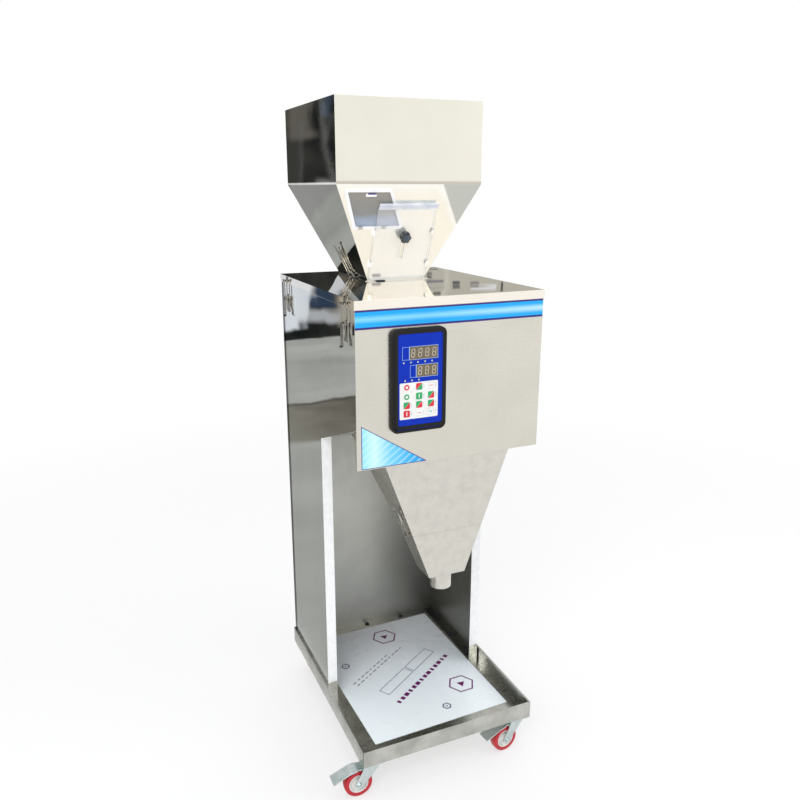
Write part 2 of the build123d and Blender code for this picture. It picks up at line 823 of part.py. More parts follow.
def latch_lever():
    grip_out = latch_pivot_out + handle_out
    grip_in = grip_out - ear_thickness
    round_pin = 2 * latch_pin_radius
    foot = handle_low + cheek_foot
    cheek_points = [
        (latch_pivot_out - round_pin, 1), (latch_pivot_out - round_pin / 2, round_pin),
        (latch_pivot_out + round_pin / 2, round_pin), (grip_out, 1),
        (grip_out, foot), (grip_in, foot), (grip_in - round_pin, foot + cheek_foot),
        (pivot_in - round_pin / 2, -bail_down - round_pin), (pivot_in - round_pin, -bail_down),
        (pivot_in - round_pin, -bail_down + round_pin),
    ]

    def cheek(y0, y1):
        return local_profile(cheek_points, y0, y1)

    cheek_outer = cheek_inner + ear_thickness
    body = pair(cheek, cheek_inner, cheek_outer)
    body += block(grip_in, grip_out, -cheek_outer, cheek_outer, handle_low, handle_top)
    curl_end = handle_low - handle_curl / 2
    body += local_profile([
        (grip_in, handle_low), (grip_out, handle_low + ear_thickness), (grip_out + handle_curl, curl_end),
        (grip_out + handle_curl - ear_thickness, curl_end - ear_thickness),
    ], -cheek_outer, cheek_outer)
    wide = 2 * latch_half
    body -= rod((latch_pivot_out, -wide, 0), (latch_pivot_out, wide, 0), latch_pin_radius + running)
    body -= rod((pivot_in, -wide, -bail_down), (pivot_in, wide, -bail_down), latch_pin_radius + running)
    return body


def latch_bail():
    top = bail_length - bail_down
    inner = cheek_inner - running
    path = FilletPolyline(
        (pivot_in, -inner, -bail_down), (pivot_in, -bail_half, -bail_down), (pivot_in, -bail_half, top),
        (pivot_in, bail_half, top), (pivot_in, bail_half, -bail_down), (pivot_in, inner, -bail_down),
        radius=bail_bend)
    start = Plane(origin=path @ 0, z_dir=path % 0)
    return sweep(start * Circle(latch_pin_radius), path=path)


def latch_keeper(back, extra):
    plate_end = tab_top + keeper_plate + extra
    plate = block(back, back + ear_thickness, -keeper_half, keeper_half, tab_low, plate_end)
    tab = block(back, keeper_reach, -keeper_half, keeper_half, tab_low, tab_top)
    lip = block(keeper_reach - latch_plate_thickness, keeper_reach, -keeper_half, keeper_half,
                tab_low, tab_top + keeper_lip)
    return plate + tab + lip


def latch_places():
    """Name, plane on the panel, size, height of the keeper's seat and its added length, on the left side."""
    places = []
    pivot_z = head_top - latch_drop
    for name, y in (("front", head_front + latch_front_gap), ("back", body_back - latch_back_gap)):
        plane = Plane(origin=(-body_half, y, pivot_z), x_dir=(-1, 0, 0), z_dir=(0, 0, 1))
        places.append((f"head_{name}", plane, 1.0, lap + sheet, 0.0))
    lean = math.atan(hopper_splay)
    out = Vector(-math.cos(lean), 0, -math.sin(lean))
    down = Vector(math.sin(lean), 0, -math.cos(lean))
    keeper_end = (tab_top + keeper_plate + keeper_extra) * small_latch
    foot = Vector(-mouth_half - keeper_lift * math.tan(lean), hopper_middle, head_top + keeper_lift)
    hopper_plane = Plane(origin=foot - down * keeper_end, x_dir=out, z_dir=down)
    places.append(("hopper", hopper_plane, small_latch, 0.0, keeper_extra))
    lean = math.atan(funnel_flare)
    out = Vector(-math.cos(lean), 0, -math.sin(lean))
    down = Vector(math.sin(lean), 0, -math.cos(lean))
    seam = Vector(-funnel_section(funnel_seam)[0], funnel_front + funnel_latch_gap, funnel_seam)
    origin = seam - down * (tab_low * small_latch - funnel_tab_drop)
    places.append(("funnel", Plane(origin=origin, x_dir=out, z_dir=down), small_latch, 0.0, 0.0))
    return places


def place(shape, plane, size, right):
    if size != 1.0:
        shape = scale(shape, by=size)
    shape = plane * shape
    return mirrored(shape) if right else shape


def save_latches():
    bases, keepers = [], []
    for name, plane, size, seat, extra in latch_places():
        for side in ("left", "right"):
            right = side == "right"
            bases.append(place(latch_base(), plane, size, right))
            keeper = place(latch_keeper(seat / size, extra), plane, size, right)
            if name == "hopper":
                foot = block(-mouth_half - keeper_tail, -mouth_half - neck_gap, hopper_middle - keeper_foot,
                             hopper_middle + keeper_foot, head_top, head_top + sheet)
                keeper += mirrored(foot) if right else foot
            keepers.append(keeper)
            save(f"latch_lever_{name}_{side}", place(latch_lever(), plane, size, right))
            save(f"latch_bail_{name}_{side}", place(latch_bail(), plane, size, right))
    save("latch_bases", *bases)
    save("latch_keepers", *keepers)


# Casters. Local origin on the floor under the swivel, the wheel trails along local +x.

def caster_plate():
    top = tray_bottom
    under = top - caster_plate_thickness
    plate = block(-caster_plate_half, caster_plate_half, -caster_plate_half, caster_plate_half, under, top)
    plate = fillet(plate.edges().filter_by(Axis.Z), 5)
    for x in (-bolt_hole_offset, bolt_hole_offset):
        for y in (-bolt_hole_offset, bolt_hole_offset):
            plate -= Pos(x, y, top) * Cylinder(bolt_hole_radius, 4 * caster_plate_thickness)
    race_low = under - race_height
    pin_low = crown_low - hinge_gap
    plate += rod((0, 0, race_low), (0, 0, under), race_radius)
    plate += rod((0, 0, pin_low), (0, 0, under), king_pin_radius)
    plate += rod((0, 0, pin_low - rivet_height), (0, 0, pin_low), rivet_radius)
    return plate


def fork_points():
    """Outline of a fork leg, from the yoke down round the axle."""
    top = crown_low + fork_thickness
    ax, az = caster_trail, wheel_radius
    across = 2.5 * axle_radius
    return [(-yoke_front, top), (yoke_back, top), (ax + across, az + across / 2), (ax + across, az - across / 2),
            (ax + across / 2, az - across), (ax - across / 2, az - across), (ax - 1.4 * across, az),
            (-across, crown_low - across), (-yoke_front, crown_low - fork_thickness)]


def caster_fork():
    low = crown_low
    crown = rod((0, 0, low), (0, 0, low + crown_height), crown_radius)
    yoke = block(-yoke_front, yoke_back, -fork_outer, fork_outer, low, low + fork_thickness)

    def leg(y0, y1):
        return local_profile(fork_points(), y0, y1)

    body = crown + yoke + pair(leg, fork_inner, fork_outer)
    body -= rod((0, 0, low - 1), (0, 0, low + 2 * crown_height), king_pin_radius + running)
    wide = 2 * fork_outer
    ax, az = caster_trail, wheel_radius
    body -= rod((ax, -wide, az), (ax, wide, az), axle_radius)
    body -= rod((pedal_pin_x, -wide, pedal_pin_z), (pedal_pin_x, wide, pedal_pin_z), pedal_pin_radius + running)
    axle_half = fork_outer + nut_thickness + axle_end
    axle = rod((ax, -axle_half, az), (ax, axle_half, az), axle_radius)
    for side in (-1, 1):
        inner, outer = sorted((side * fork_outer, side * (fork_outer + nut_thickness)))
        nut = extrude(Plane((ax, inner, az), z_dir=(0, 1, 0)) * RegularPolygon(nut_radius, 6), amount=outer - inner)
        axle += nut
    return [body, axle]


def caster_wheel():
    """Moulded core and the tread bonded to it."""
    ax, az = caster_trail, wheel_radius
    bore = axle_radius + running
    half, core = wheel_width / 2, hub_width / 2
    boss, web = 11, 5
    core_points = [(bore, -core), (boss, -core), (boss + 1.5, -web), (rim_radius - 4, -web),
                   (rim_radius - 3, -half + 1), (rim_radius, -half + 1), (rim_radius, half - 1),
                   (rim_radius - 3, half - 1), (rim_radius - 4, web), (boss + 1.5, web), (boss, core), (bore, core)]
    tread_points = [(rim_radius, -half + 1), (wheel_radius - 3, -half), (wheel_radius - 1, -half + 2),
                    (wheel_radius, -half + 6), (wheel_radius, half - 6), (wheel_radius - 1, half - 2),
                    (wheel_radius - 3, half), (rim_radius, half - 1)]
    solids = []
    for points in (core_points, tread_points):
        face = make_face(Polyline(*points, close=True))
        ring = revolve(face, axis=Axis.Y)
        solids.append(Pos(ax, 0, az) * ring)
    return solids


def brake_pedal():
    """Arm between the fork's legs and the wide tread in front of it, bent from one plate."""
    x, z = pedal_pin_x, pedal_pin_z
    narrow = fork_inner - 2 * hinge_gap
    wide = fork_outer - hinge_gap
    thick = pedal_thickness
    middle = x + pedal_arm / 2
    bend = x + pedal_arm
    end = x + pedal_reach
    arm = [(x - pedal_pin_radius - hinge_gap, z - 2), (x - pedal_pin_radius - hinge_gap, z + pedal_pin_radius),
           (middle, z + 1.5 * thick), (bend, z), (bend, z - thick), (middle, z + thick / 2),
           (x + 2 * thick, z - pedal_pin_radius / 2)]
    tread = [(middle, z + 1.5 * thick), (bend, z), (end, z - pedal_fall), (end, z - pedal_fall - thick),
             (end - thick, z - pedal_fall - thick), (bend, z - thick), (middle, z + thick / 2)]
    body = local_profile(arm, -narrow, narrow) + local_profile(tread, -wide, wide)
    pin = rod((x, -fork_outer, z), (x, fork_outer, z), pedal_pin_radius)
    return body + pin


def caster_places():
    across = tray_half - caster_inset
    along = tray_depth / 2 - caster_inset - 1
    for name, turn in caster_turns.items():
        x = across if "right" in name else -across
        y = tray_middle + (along if "rear" in name else -along)
        yield name, Pos(x, y, 0), Rot(0, 0, turn)


def save_casters():
    plates = []
    for name, spot, turn in caster_places():
        plates.append(spot * caster_plate())
        save(f"caster_fork_{name}", *[spot * turn * solid for solid in caster_fork()])
        save(f"caster_wheel_{name}", *[spot * turn * solid for solid in caster_wheel()])
        save(f"brake_pedal_{name}", spot * turn * brake_pedal())
    save("caster_plates", *plates)


# Mains inlet with its rocker switch, on the back panel

def power_inlet():
    y0, y1 = body_back, body_back + inlet_depth
    floor = y0 + inlet_floor
    flange = block(inlet_x - inlet_width / 2, inlet_x + inlet_width / 2, y0, y1,
                   inlet_z - inlet_height / 2, inlet_z + inlet_height / 2)
    flange = fillet(flange.edges().filter_by(Axis.Y), inlet_corner)
    socket_z = inlet_z - socket_drop
    flange -= block(inlet_x - socket_half_width, inlet_x + socket_half_width, floor, y1 + 1,
                    socket_z - socket_half_height, socket_z + socket_half_height)
    for blade in (-blade_spacing, 0, blade_spacing):
        x = inlet_x + blade
        flange += block(x - blade_half, x + blade_half, floor - lap, y1 - lap,
                        socket_z - 2 * blade_half, socket_z + 2 * blade_half)
    half_w = rocker_width / 2 + rocker_gap
    half_h = rocker_height / 2 + rocker_gap
    flange -= block(inlet_x - half_w, inlet_x + half_w, floor, y1 + 1, rocker_z - half_h, rocker_z + half_h)
    return flange


def power_switch():
    """Rocker whose round boss rolls in the well's floor; its cap stands proud of the plate."""
    half_w, half_h = rocker_width / 2, rocker_height / 2
    cap = block(-half_w, half_w, lap, lap + rocker_thickness, -half_h, half_h)
    boss = rod((-half_w, 0, 0), (half_w, 0, 0), rocker_boss)
    turned = Rot(rocker_tilt, 0, 0) * (cap + boss)
    return Pos(inlet_x, body_back + inlet_floor + rocker_boss + lap / 2, rocker_z) * turned


def build():
    left = side_panel()
    save("base_tray", base_tray())
    save("film_plate", film_plate())
    save("left_side_panel", left)
    save("right_side_panel", mirrored(left))
    save("back_panel", back_panel())
    save("rear_cover", rear_cover())
    save("front_panel", front_panel())
    save("head_floor", head_floor())
    save("top_cover", top_cover())
    save("hopper", hopper())
    save("window_frame", window_frame())
    save("window_pane", window_pane())
    save("gate_plate", gate_plate())
    save("gate_clips", *gate_clips())
    save("gate_knob", gate_knob())
    save("feed_trough", feed_trough())
    save("auger", auger())
    save("gear_motor", gear_motor())
    save("cross_beams", *cross_beams())
    save("load_cell", load_cell())
    save("weigh_bucket", weigh_bucket())
    save("bucket_flap", bucket_flap())
    save("flap_motor", flap_motor())
    save("discharge_funnel", discharge_funnel())
    save("funnel_tip", funnel_tip())
    save("control_housing", control_housing())
    save("control_membrane", control_membrane())
    save("power_inlet", power_inlet())
    save("power_switch", power_switch())
    save_latches()
    save_casters()


build()
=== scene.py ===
import json
import math

import bmesh
import bpy
from mathutils import Matrix, Vector


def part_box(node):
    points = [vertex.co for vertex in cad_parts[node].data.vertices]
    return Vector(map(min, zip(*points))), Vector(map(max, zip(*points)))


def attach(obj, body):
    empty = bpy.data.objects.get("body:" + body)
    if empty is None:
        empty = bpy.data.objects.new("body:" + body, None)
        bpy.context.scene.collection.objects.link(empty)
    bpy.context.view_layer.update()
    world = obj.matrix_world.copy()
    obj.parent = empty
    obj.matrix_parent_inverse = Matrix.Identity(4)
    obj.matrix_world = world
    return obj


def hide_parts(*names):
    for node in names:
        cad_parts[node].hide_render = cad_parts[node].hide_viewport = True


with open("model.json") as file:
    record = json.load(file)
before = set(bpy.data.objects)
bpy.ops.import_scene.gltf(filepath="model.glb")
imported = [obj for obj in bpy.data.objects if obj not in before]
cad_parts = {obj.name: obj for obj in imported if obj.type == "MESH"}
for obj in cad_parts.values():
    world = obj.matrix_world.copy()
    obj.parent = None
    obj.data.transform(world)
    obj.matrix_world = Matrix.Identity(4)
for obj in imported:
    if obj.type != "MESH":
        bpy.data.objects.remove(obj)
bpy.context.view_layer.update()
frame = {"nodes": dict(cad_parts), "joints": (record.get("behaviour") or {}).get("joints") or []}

# Sizes and places are in millimetres, in the machine's own frame: +Z up, the front faces -Y.
MM = 0.001
X, Y, Z = Vector((1, 0, 0)), Vector((0, 1, 0)), Vector((0, 0, 1))
SKIN = 0.25                                 # thickness of stickers and films
LIFT = 0.02                                 # gap under them


def node_box(node):
    """Lowest and highest corner of a CAD node, in millimetres."""
    low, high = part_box(node)
    return Vector(low) / MM, Vector(high) / MM


# Places read from the frame
panel_low, panel_high = node_box("front_panel")
bezel_low, bezel_high = node_box("control_housing")
film_low, film_high = node_box("film_plate")
side_low, side_high = node_box("left_side_panel")
rear_low, rear_high = node_box("rear_cover")
pane_low, pane_high = node_box("window_pane")
membrane_low = node_box("control_membrane")[0]
cover_high = node_box("top_cover")[1]
gate_high = node_box("gate_plate")[1]
plates_high = node_box("caster_plates")[1]
HEAD_FRONT = panel_low.y
HEAD_HALF = panel_high.x
JOINTS = {joint["name"]: joint for joint in frame["joints"]}


def joint_place(name):
    return Vector(JOINTS[name]["pos_m"]) / MM, Vector(JOINTS[name]["axis"])


# Places measured in the photograph
BANNER_LOW, BANNER_HIGH = 1200.5, 1243
SIGN_CORNERS = [(-227, 879.8), (-64, 879.8), (-227, 983)]
POST_FRONT = -48                            # front face of the two posts
FILM_TOP = 935                              # the side panels keep their film below this height
FOLD = 1504                                 # where the hopper's slopes meet its straight bin


# Meshes

def frame_at(origin, x_axis, normal):
    """Matrix with local x along x_axis and local z along the normal."""
    z = Vector(normal).normalized()
    x = (Vector(x_axis) - Vector(x_axis).dot(z) * z).normalized()
    matrix = Matrix((x, z.cross(x), z)).transposed().to_4x4()
    matrix.translation = Vector(origin)
    return matrix


def on_front(x, z, y=HEAD_FRONT):
    """Frame on a plane that faces the operator: local x is +X and local y is +Z."""
    return frame_at((x, y, z), X, -Y)


def add_prism(bm, outline, low, high, matrix, slot=0):
    """Straight solid on a closed outline of (x, y) points, between two local heights."""
    bottom = [bm.verts.new(matrix @ Vector((x, y, low))) for x, y in outline]
    top = [bm.verts.new(matrix @ Vector((x, y, high))) for x, y in outline]
    faces = [bm.faces.new(top), bm.faces.new(bottom[::-1])]
    count = len(outline)
    for i in range(count):
        j = (i + 1) % count
        faces.append(bm.faces.new((bottom[i], bottom[j], top[j], top[i])))
    for face in faces:
        face.material_index = slot


def add_lathe(bm, profile, matrix, steps=32, slot=0):
    """Ring turned about local z from a closed profile of (radius, height) points."""
    rings = []
    for step in range(steps):
        angle = 2 * math.pi * step / steps
        c, s = math.cos(angle), math.sin(angle)
        rings.append([bm.verts.new(matrix @ Vector((r * c, r * s, h))) for r, h in profile])
    count = len(profile)
    for step in range(steps):
        here, there = rings[step], rings[(step + 1) % steps]
        for i in range(count):
            j = (i + 1) % count
            face = bm.faces.new((here[i], there[i], there[j], here[j]))
            face.material_index = slot


def add_dome(bm, profile, matrix, steps=24, slot=0, lobes=0, depth=0.0):
    """Turned cap from an open (radius, height) profile that starts and ends on the axis, lobed if asked."""
    first = bm.verts.new(matrix @ Vector((0, 0, profile[0][1])))
    last = bm.verts.new(matrix @ Vector((0, 0, profile[-1][1])))
    rings = []
    for step in range(steps):
        angle = 2 * math.pi * step / steps
        grow = 1 - depth * (0.5 - 0.5 * math.cos(lobes * angle)) if lobes else 1
        c, s = grow * math.cos(angle), grow * math.sin(angle)
        rings.append([bm.verts.new(matrix @ Vector((r * c, r * s, h))) for r, h in profile[1:-1]])
    for step in range(steps):
        here, there = rings[step], rings[(step + 1) % steps]
        made = [bm.faces.new((first, there[0], here[0])), bm.faces.new((last, here[-1], there[-1]))]
        for i in range(len(here) - 1):
            made.append(bm.faces.new((here[i], there[i], there[i + 1], here[i + 1])))
        for face in made:
            face.material_index = slot


def rectangle(width, height):
    w, h = width / 2, height / 2
    return [(-w, -h), (w, -h), (w, h), (-w, h)]


def rounded(width, height, radius, steps=5):
    points = []
    for cx, cy, start in ((1, -1, -90), (1, 1, 0), (-1, 1, 90), (-1, -1, 180)):
        for step in range(steps + 1):
            angle = math.radians(start + 90 * step / steps)
            points.append((cx * (width / 2 - radius) + radius * math.cos(angle),
                           cy * (height / 2 - radius) + radius * math.sin(angle)))
    return points


def polygon(radius, sides, start=0.0):
    angles = [start + 2 * math.pi * i / sides for i in range(sides)]
    return [(radius * math.cos(a), radius * math.sin(a)) for a in angles]


def shifted(outline, x, y):
    return [(px + x, py + y) for px, py in outline]


def shrunk(corners, distance):
    """Triangle moved in by a distance on every side."""
    centre_weights = []
    for i in range(3):
        a, b = Vector(corners[(i + 1) % 3]), Vector(corners[(i + 2) % 3])
        centre_weights.append((a - b).length)
    total = sum(centre_weights)
    cx = sum(w * c[0] for w, c in zip(centre_weights, corners)) / total
    cy = sum(w * c[1] for w, c in zip(centre_weights, corners)) / total
    area = abs((corners[1][0] - corners[0][0]) * (corners[2][1] - corners[0][1])
               - (corners[2][0] - corners[0][0]) * (corners[1][1] - corners[0][1])) / 2
    share = 1 - distance * total / (2 * area)
    return [(cx + (x - cx) * share, cy + (y - cy) * share) for x, y in corners]


def make_piece(name, bm, looks, body="root", bevel=0.0, segments=2, smooth=35):
    """Finishes a mesh drawn in millimetres as a piece that rides on a body."""
    bmesh.ops.recalc_face_normals(bm, faces=bm.faces)
    bmesh.ops.scale(bm, vec=(MM, MM, MM), verts=bm.verts)
    mesh = bpy.data.meshes.new(name)
    bm.to_mesh(mesh)
    bm.free()
    mesh.polygons.foreach_set("use_smooth", [True] * len(mesh.polygons))
    mesh.set_sharp_from_angle(angle=math.radians(smooth))
    piece = bpy.data.objects.new(name, mesh)
    bpy.context.collection.objects.link(piece)
    for look in looks:
        mesh.materials.append(M[look])
    if bevel:
        edge = piece.modifiers.new("edge", "BEVEL")
        edge.width = bevel * MM
        edge.segments = segments
        edge.limit_method = "ANGLE"
        edge.angle_limit = math.radians(30)
        edge.harden_normals = True
    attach(piece, body)
    return piece


# Materials

class Shader:
    """A node material in the making, with object coordinates in metres."""

    def __init__(self, name, color=(0.8, 0.8, 0.8), metallic=0.0, roughness=0.5, **sockets):
        self.material = bpy.data.materials.new(name)
        self.material.use_nodes = True
        self.tree = self.material.node_tree
        self.surface = self.tree.nodes["Principled BSDF"]
        self.coordinates = self.tree.nodes.new("ShaderNodeTexCoord")
        self.set("Base Color", (*color, 1.0))
        self.set("Metallic", metallic)
        self.set("Roughness", roughness)
        for key, value in sockets.items():
            self.set(key, value)

    def set(self, socket, value):
        if hasattr(value, "is_output"):
            self.tree.links.new(value, self.surface.inputs[socket])
        else:
            self.surface.inputs[socket].default_value = value

    def fill(self, socket, value):
        if hasattr(value, "is_output"):
            self.tree.links.new(value, socket)
        else:
            socket.default_value = (*value, 1.0) if isinstance(value, tuple) and len(value) == 3 else value

    def node(self, kind, **inputs):
        made = self.tree.nodes.new(kind)
        for key, value in inputs.items():
            if hasattr(value, "is_output"):
                self.tree.links.new(value, made.inputs[key])
            else:
                made.inputs[key].default_value = value
        return made

    def place(self, scale=(1, 1, 1)):
        source = self.coordinates.outputs["Object"]
        return self.node("ShaderNodeMapping", Vector=source, Scale=scale).outputs[0]

    def noise(self, scale, stretch=(1, 1, 1), detail=3.0, distortion=0.0):
        made = self.node("ShaderNodeTexNoise", Vector=self.place(stretch), Scale=scale, Detail=detail,
                         Distortion=distortion)
        return made.outputs["Fac"]

    def ramp(self, value, *stops):
        """Colour ramp from (position, colour) stops; a single number is a grey."""
        made = self.tree.nodes.new("ShaderNodeValToRGB")
        self.tree.links.new(value, made.inputs[0])
        elements = made.color_ramp.elements
        while len(elements) < len(stops):
            elements.new(0.5)
        for element, (position, color) in zip(elements, stops):
            element.position = position
            element.color = (*color, 1.0) if isinstance(color, tuple) else (color, color, color, 1.0)
        return made.outputs[0]

    def mix(self, fac, low, high):
        made = self.tree.nodes.new("ShaderNodeMix")
        made.data_type = "RGBA"
        for socket, value in zip((made.inputs[0], made.inputs[6], made.inputs[7]), (fac, low, high)):
            self.fill(socket, value)
        return made.outputs[2]

    def range(self, value, low, high, source_low=0.0, source_high=1.0):
        made = self.node("ShaderNodeMapRange", Value=value)
        for index, number in zip((1, 2, 3, 4), (source_low, source_high, low, high)):
            made.inputs[index].default_value = number
        return made.outputs[0]

    def math(self, operation, *values):
        made = self.tree.nodes.new("ShaderNodeMath")
        made.operation = operation
        for socket, value in zip(made.inputs, values):
            self.fill(socket, value)
        return made.outputs[0]

    def band(self, value, low, high, soft=0.02):
        """One between two values and zero outside, with soft edges."""
        rise = self.range(value, 0.0, 1.0, low - soft, low + soft)
        fall = self.range(value, 1.0, 0.0, high - soft, high + soft)
        return self.math("MULTIPLY", rise, fall)

    def wobble(self, value, scale, amount, stretch=(1, 1, 1)):
        """A coordinate shifted to and fro by noise."""
        swing = self.range(self.noise(scale, stretch, detail=2.0), -amount, amount, 0.25, 0.75)
        return self.math("ADD", value, swing)

    def axis(self, name, source="Object"):
        made = self.node("ShaderNodeSeparateXYZ", Vector=self.coordinates.outputs[source])
        return made.outputs[name]

    def edge(self, radius):
        """Normal that rounds sharp edges."""
        return self.node("ShaderNodeBevel", Radius=radius * MM).outputs[0]

    def bump(self, height, strength, distance, normal=None):
        made = self.node("ShaderNodeBump", Height=height, Strength=strength, Distance=distance)
        if normal is not None:
            self.tree.links.new(normal, made.inputs["Normal"])
        self.set("Normal", made.outputs[0])
        return made.outputs[0]


def mottled(shader, light, dark, scale=9.0, low=0.35, high=0.75):
    cloud = shader.noise(scale, detail=5.0)
    return shader.mix(shader.range(cloud, 0.0, 1.0, low, high), light, dark)


def metal_grain(shader, low, high, grain, wave=0.0, wave_scale=5.0, relief=0.06, edge=0.7):
    """Brushed grain in roughness and relief, over rounded edges and the slight waves of thin sheet."""
    streak = shader.noise(700.0, grain, detail=4.0)
    shader.set("Roughness", shader.range(streak, low, high, 0.3, 0.7))
    normal = shader.edge(edge)
    if wave:
        normal = shader.bump(shader.noise(wave_scale, detail=1.5), wave, 0.004, normal)
    shader.bump(streak, relief, 0.0003, normal)
    return streak


def brushed_sheet(name, light, dark, low=0.22, high=0.36, grain=(0.04, 1, 1), wave=0.15, scale=9.0):
    shader = Shader(name, metallic=1.0)
    metal_grain(shader, low, high, grain, wave)
    shader.set("Base Color", mottled(shader, light, dark, scale))
    return shader.material


def mirror_sheet(name, light, dark, wave=0.25):
    """Polished sheet, slightly waved; the caller may go on with it."""
    shader = Shader(name, metallic=1.0)
    grain = shader.noise(900.0, (1, 0.03, 1), detail=3.0)
    shader.set("Roughness", shader.range(grain, 0.012, 0.04, 0.3, 0.7))
    shader.set("Base Color", mottled(shader, light, dark, 4.0))
    normal = shader.bump(shader.noise(4.0, (1, 1, 0.6), detail=1.0), wave, 0.006, shader.edge(0.9))
    shader.bump(grain, 0.03, 0.0002, normal)
    return shader


def side_sheet():
    """Side panel: hazy under its film, with a painted dark reflection round its rear bend, rougher on its
    inside, and painted shade on its inside and on the tops of its feet.
    """
    shader = mirror_sheet("side_sheet", (0.86, 0.86, 0.84), (0.76, 0.76, 0.74))
    tone = mottled(shader, (0.86, 0.86, 0.84), (0.76, 0.76, 0.74), 4.0)
    # Painted reflection: a near-black strip along the rear bend stands for the dark reflection there.
    painted_bend_reflection = shader.range(shader.axis("Y"), 0.0, 1.0, (side_high.y - 26) * MM, (side_high.y - 18) * MM)
    tone = shader.mix(painted_bend_reflection, tone, (0.045, 0.045, 0.043))
    # Painted shade: the inner faces get a much darker tone; only their higher roughness below is a real
    # duller finish.
    across = shader.math("MULTIPLY", shader.axis("X"), shader.axis("X", "Normal"))
    inside = shader.math("LESS_THAN", across, -0.12)
    tone = shader.mix(inside, tone, mottled(shader, (0.30, 0.30, 0.28), (0.20, 0.20, 0.19), 6.0))
    # Painted shade: the upward faces of the feet are near black.
    foot = shader.math("MULTIPLY", shader.math("GREATER_THAN", shader.axis("Z", "Normal"), 0.8),
                       shader.math("LESS_THAN", shader.axis("Z"), (side_low.z + 5) * MM))
    tone = shader.mix(foot, tone, (0.10, 0.10, 0.095))
    shader.set("Base Color", tone)
    hazy = shader.range(shader.axis("Z"), 0.10, 0.0, (FILM_TOP - 200) * MM, FILM_TOP * MM)
    grain = shader.noise(500.0, (1, 0.05, 1), detail=3.0)
    inner = shader.math("MULTIPLY", inside, 0.2)
    shader.set("Roughness", shader.math("ADD", shader.range(grain, 0.015, 0.04, 0.3, 0.7),
                                        shader.math("ADD", hazy, inner)))
    return shader.material


def bay_sheet():
    """Back of the open bay, with painted shade darkening it towards its right corner, most of all low down.
    """
    shader = Shader("bay_sheet", metallic=1.0)
    metal_grain(shader, 0.4, 0.52, (1, 1, 0.04), 0.15)
    tone = mottled(shader, (0.60, 0.595, 0.55), (0.50, 0.50, 0.465))
    # Painted shade: darker towards the right corner and lower down.
    corner = shader.range(shader.axis("X"), 0.0, 1.0, 0.02, 0.24)
    low = shader.range(shader.axis("Z"), 1.0, 0.45, 0.12, 0.7)
    shader.set("Base Color", shader.mix(shader.math("MULTIPLY", corner, low), tone, (0.16, 0.16, 0.15)))
    return shader.material


def hopper_sheet():
    """Bin with a cream front that has a painted shade line above its fold, polished sides with a painted
    highlight along the fold, and a bright front slope with a painted grey reflection at its right corner.
    """
    shader = Shader("hopper_sheet", metallic=1.0)
    facing_x = shader.math("ABSOLUTE", shader.axis("X", "Normal"))
    facing_y = shader.axis("Y", "Normal")
    facing_z = shader.axis("Z", "Normal")
    x, z = shader.axis("X"), shader.axis("Z")
    cream = mottled(shader, (0.865, 0.845, 0.745), (0.825, 0.805, 0.71), 9.0)
    # Painted shade: a brownish dark line just above the fold on the cream front.
    fold_shade = shader.band(z, (FOLD - 1) * MM, (FOLD + 7) * MM, 0.0025)
    cream = shader.mix(fold_shade, cream, (0.60, 0.55, 0.47))
    bright = mottled(shader, (1.0, 1.0, 0.97), (1.0, 0.985, 0.90), 6.0)
    # Painted reflection: a grey patch at the slope's right corner.
    corner = shader.math("ADD", x, shader.math("MULTIPLY", z, 0.59))
    bright = shader.mix(shader.range(corner, 0.0, 1.0, 0.972, 0.978), bright, (0.56, 0.565, 0.52))
    polished = mottled(shader, (0.74, 0.74, 0.72), (0.64, 0.64, 0.62), 5.0)
    front = shader.math("LESS_THAN", facing_y, -0.8)
    slope = shader.math("LESS_THAN", facing_z, -0.2)
    # Painted highlight: a pale, nearly non-metallic line along the fold on the faces other than the front.
    fold_highlight = shader.band(z, (FOLD - 1) * MM, (FOLD + 4) * MM, 0.001)
    shader.set("Base Color", shader.mix(front, shader.mix(fold_highlight, polished, (0.85, 0.85, 0.85)),
                                        shader.mix(slope, cream, bright)))
    not_front = shader.range(front, 1.0, 0.0)
    shader.set("Metallic", shader.range(shader.math("MULTIPLY", fold_highlight, not_front), 1.0, 0.1))
    grain = shader.noise(700.0, (0.05, 1, 1), detail=4.0)
    soft = shader.math("MULTIPLY", front, 0.15)
    shader.set("Roughness", shader.math("ADD", shader.range(grain, 0.01, 0.03, 0.3, 0.7), soft))
    side = shader.math("GREATER_THAN", facing_x, 0.5)
    wave = shader.math("MULTIPLY", shader.noise(5.0, (1, 1, 0.5), detail=1.5), shader.range(side, 0.35, 1.0))
    normal = shader.bump(wave, 0.12, 0.006, shader.edge(1.0))
    shader.bump(grain, 0.04, 0.0003, normal)
    return shader.material


def plastic(name, color, roughness=0.45, grain=500.0, strength=0.08, tone=0.12, specular=0.5):
    """Moulded plastic with a fine grained skin and slightly uneven gloss."""
    shader = Shader(name, color, roughness=roughness)
    shader.set("Specular IOR Level", specular)
    darker = tuple(c * (1 - tone) for c in color)
    shader.set("Base Color", mottled(shader, color, darker, 40.0))
    shader.set("Roughness", shader.range(shader.noise(30.0), roughness - 0.06, roughness + 0.08, 0.3, 0.7))
    shader.bump(shader.noise(grain, detail=2.0), strength, 0.0002, shader.edge(0.5))
    return shader.material


def printed(name, color, roughness=0.35):
    shader = Shader(name, color, roughness=roughness)
    shader.set("Base Color", mottled(shader, color, tuple(c * 0.9 for c in color), 60.0))
    shader.bump(shader.noise(300.0), 0.03, 0.0001)
    return shader.material


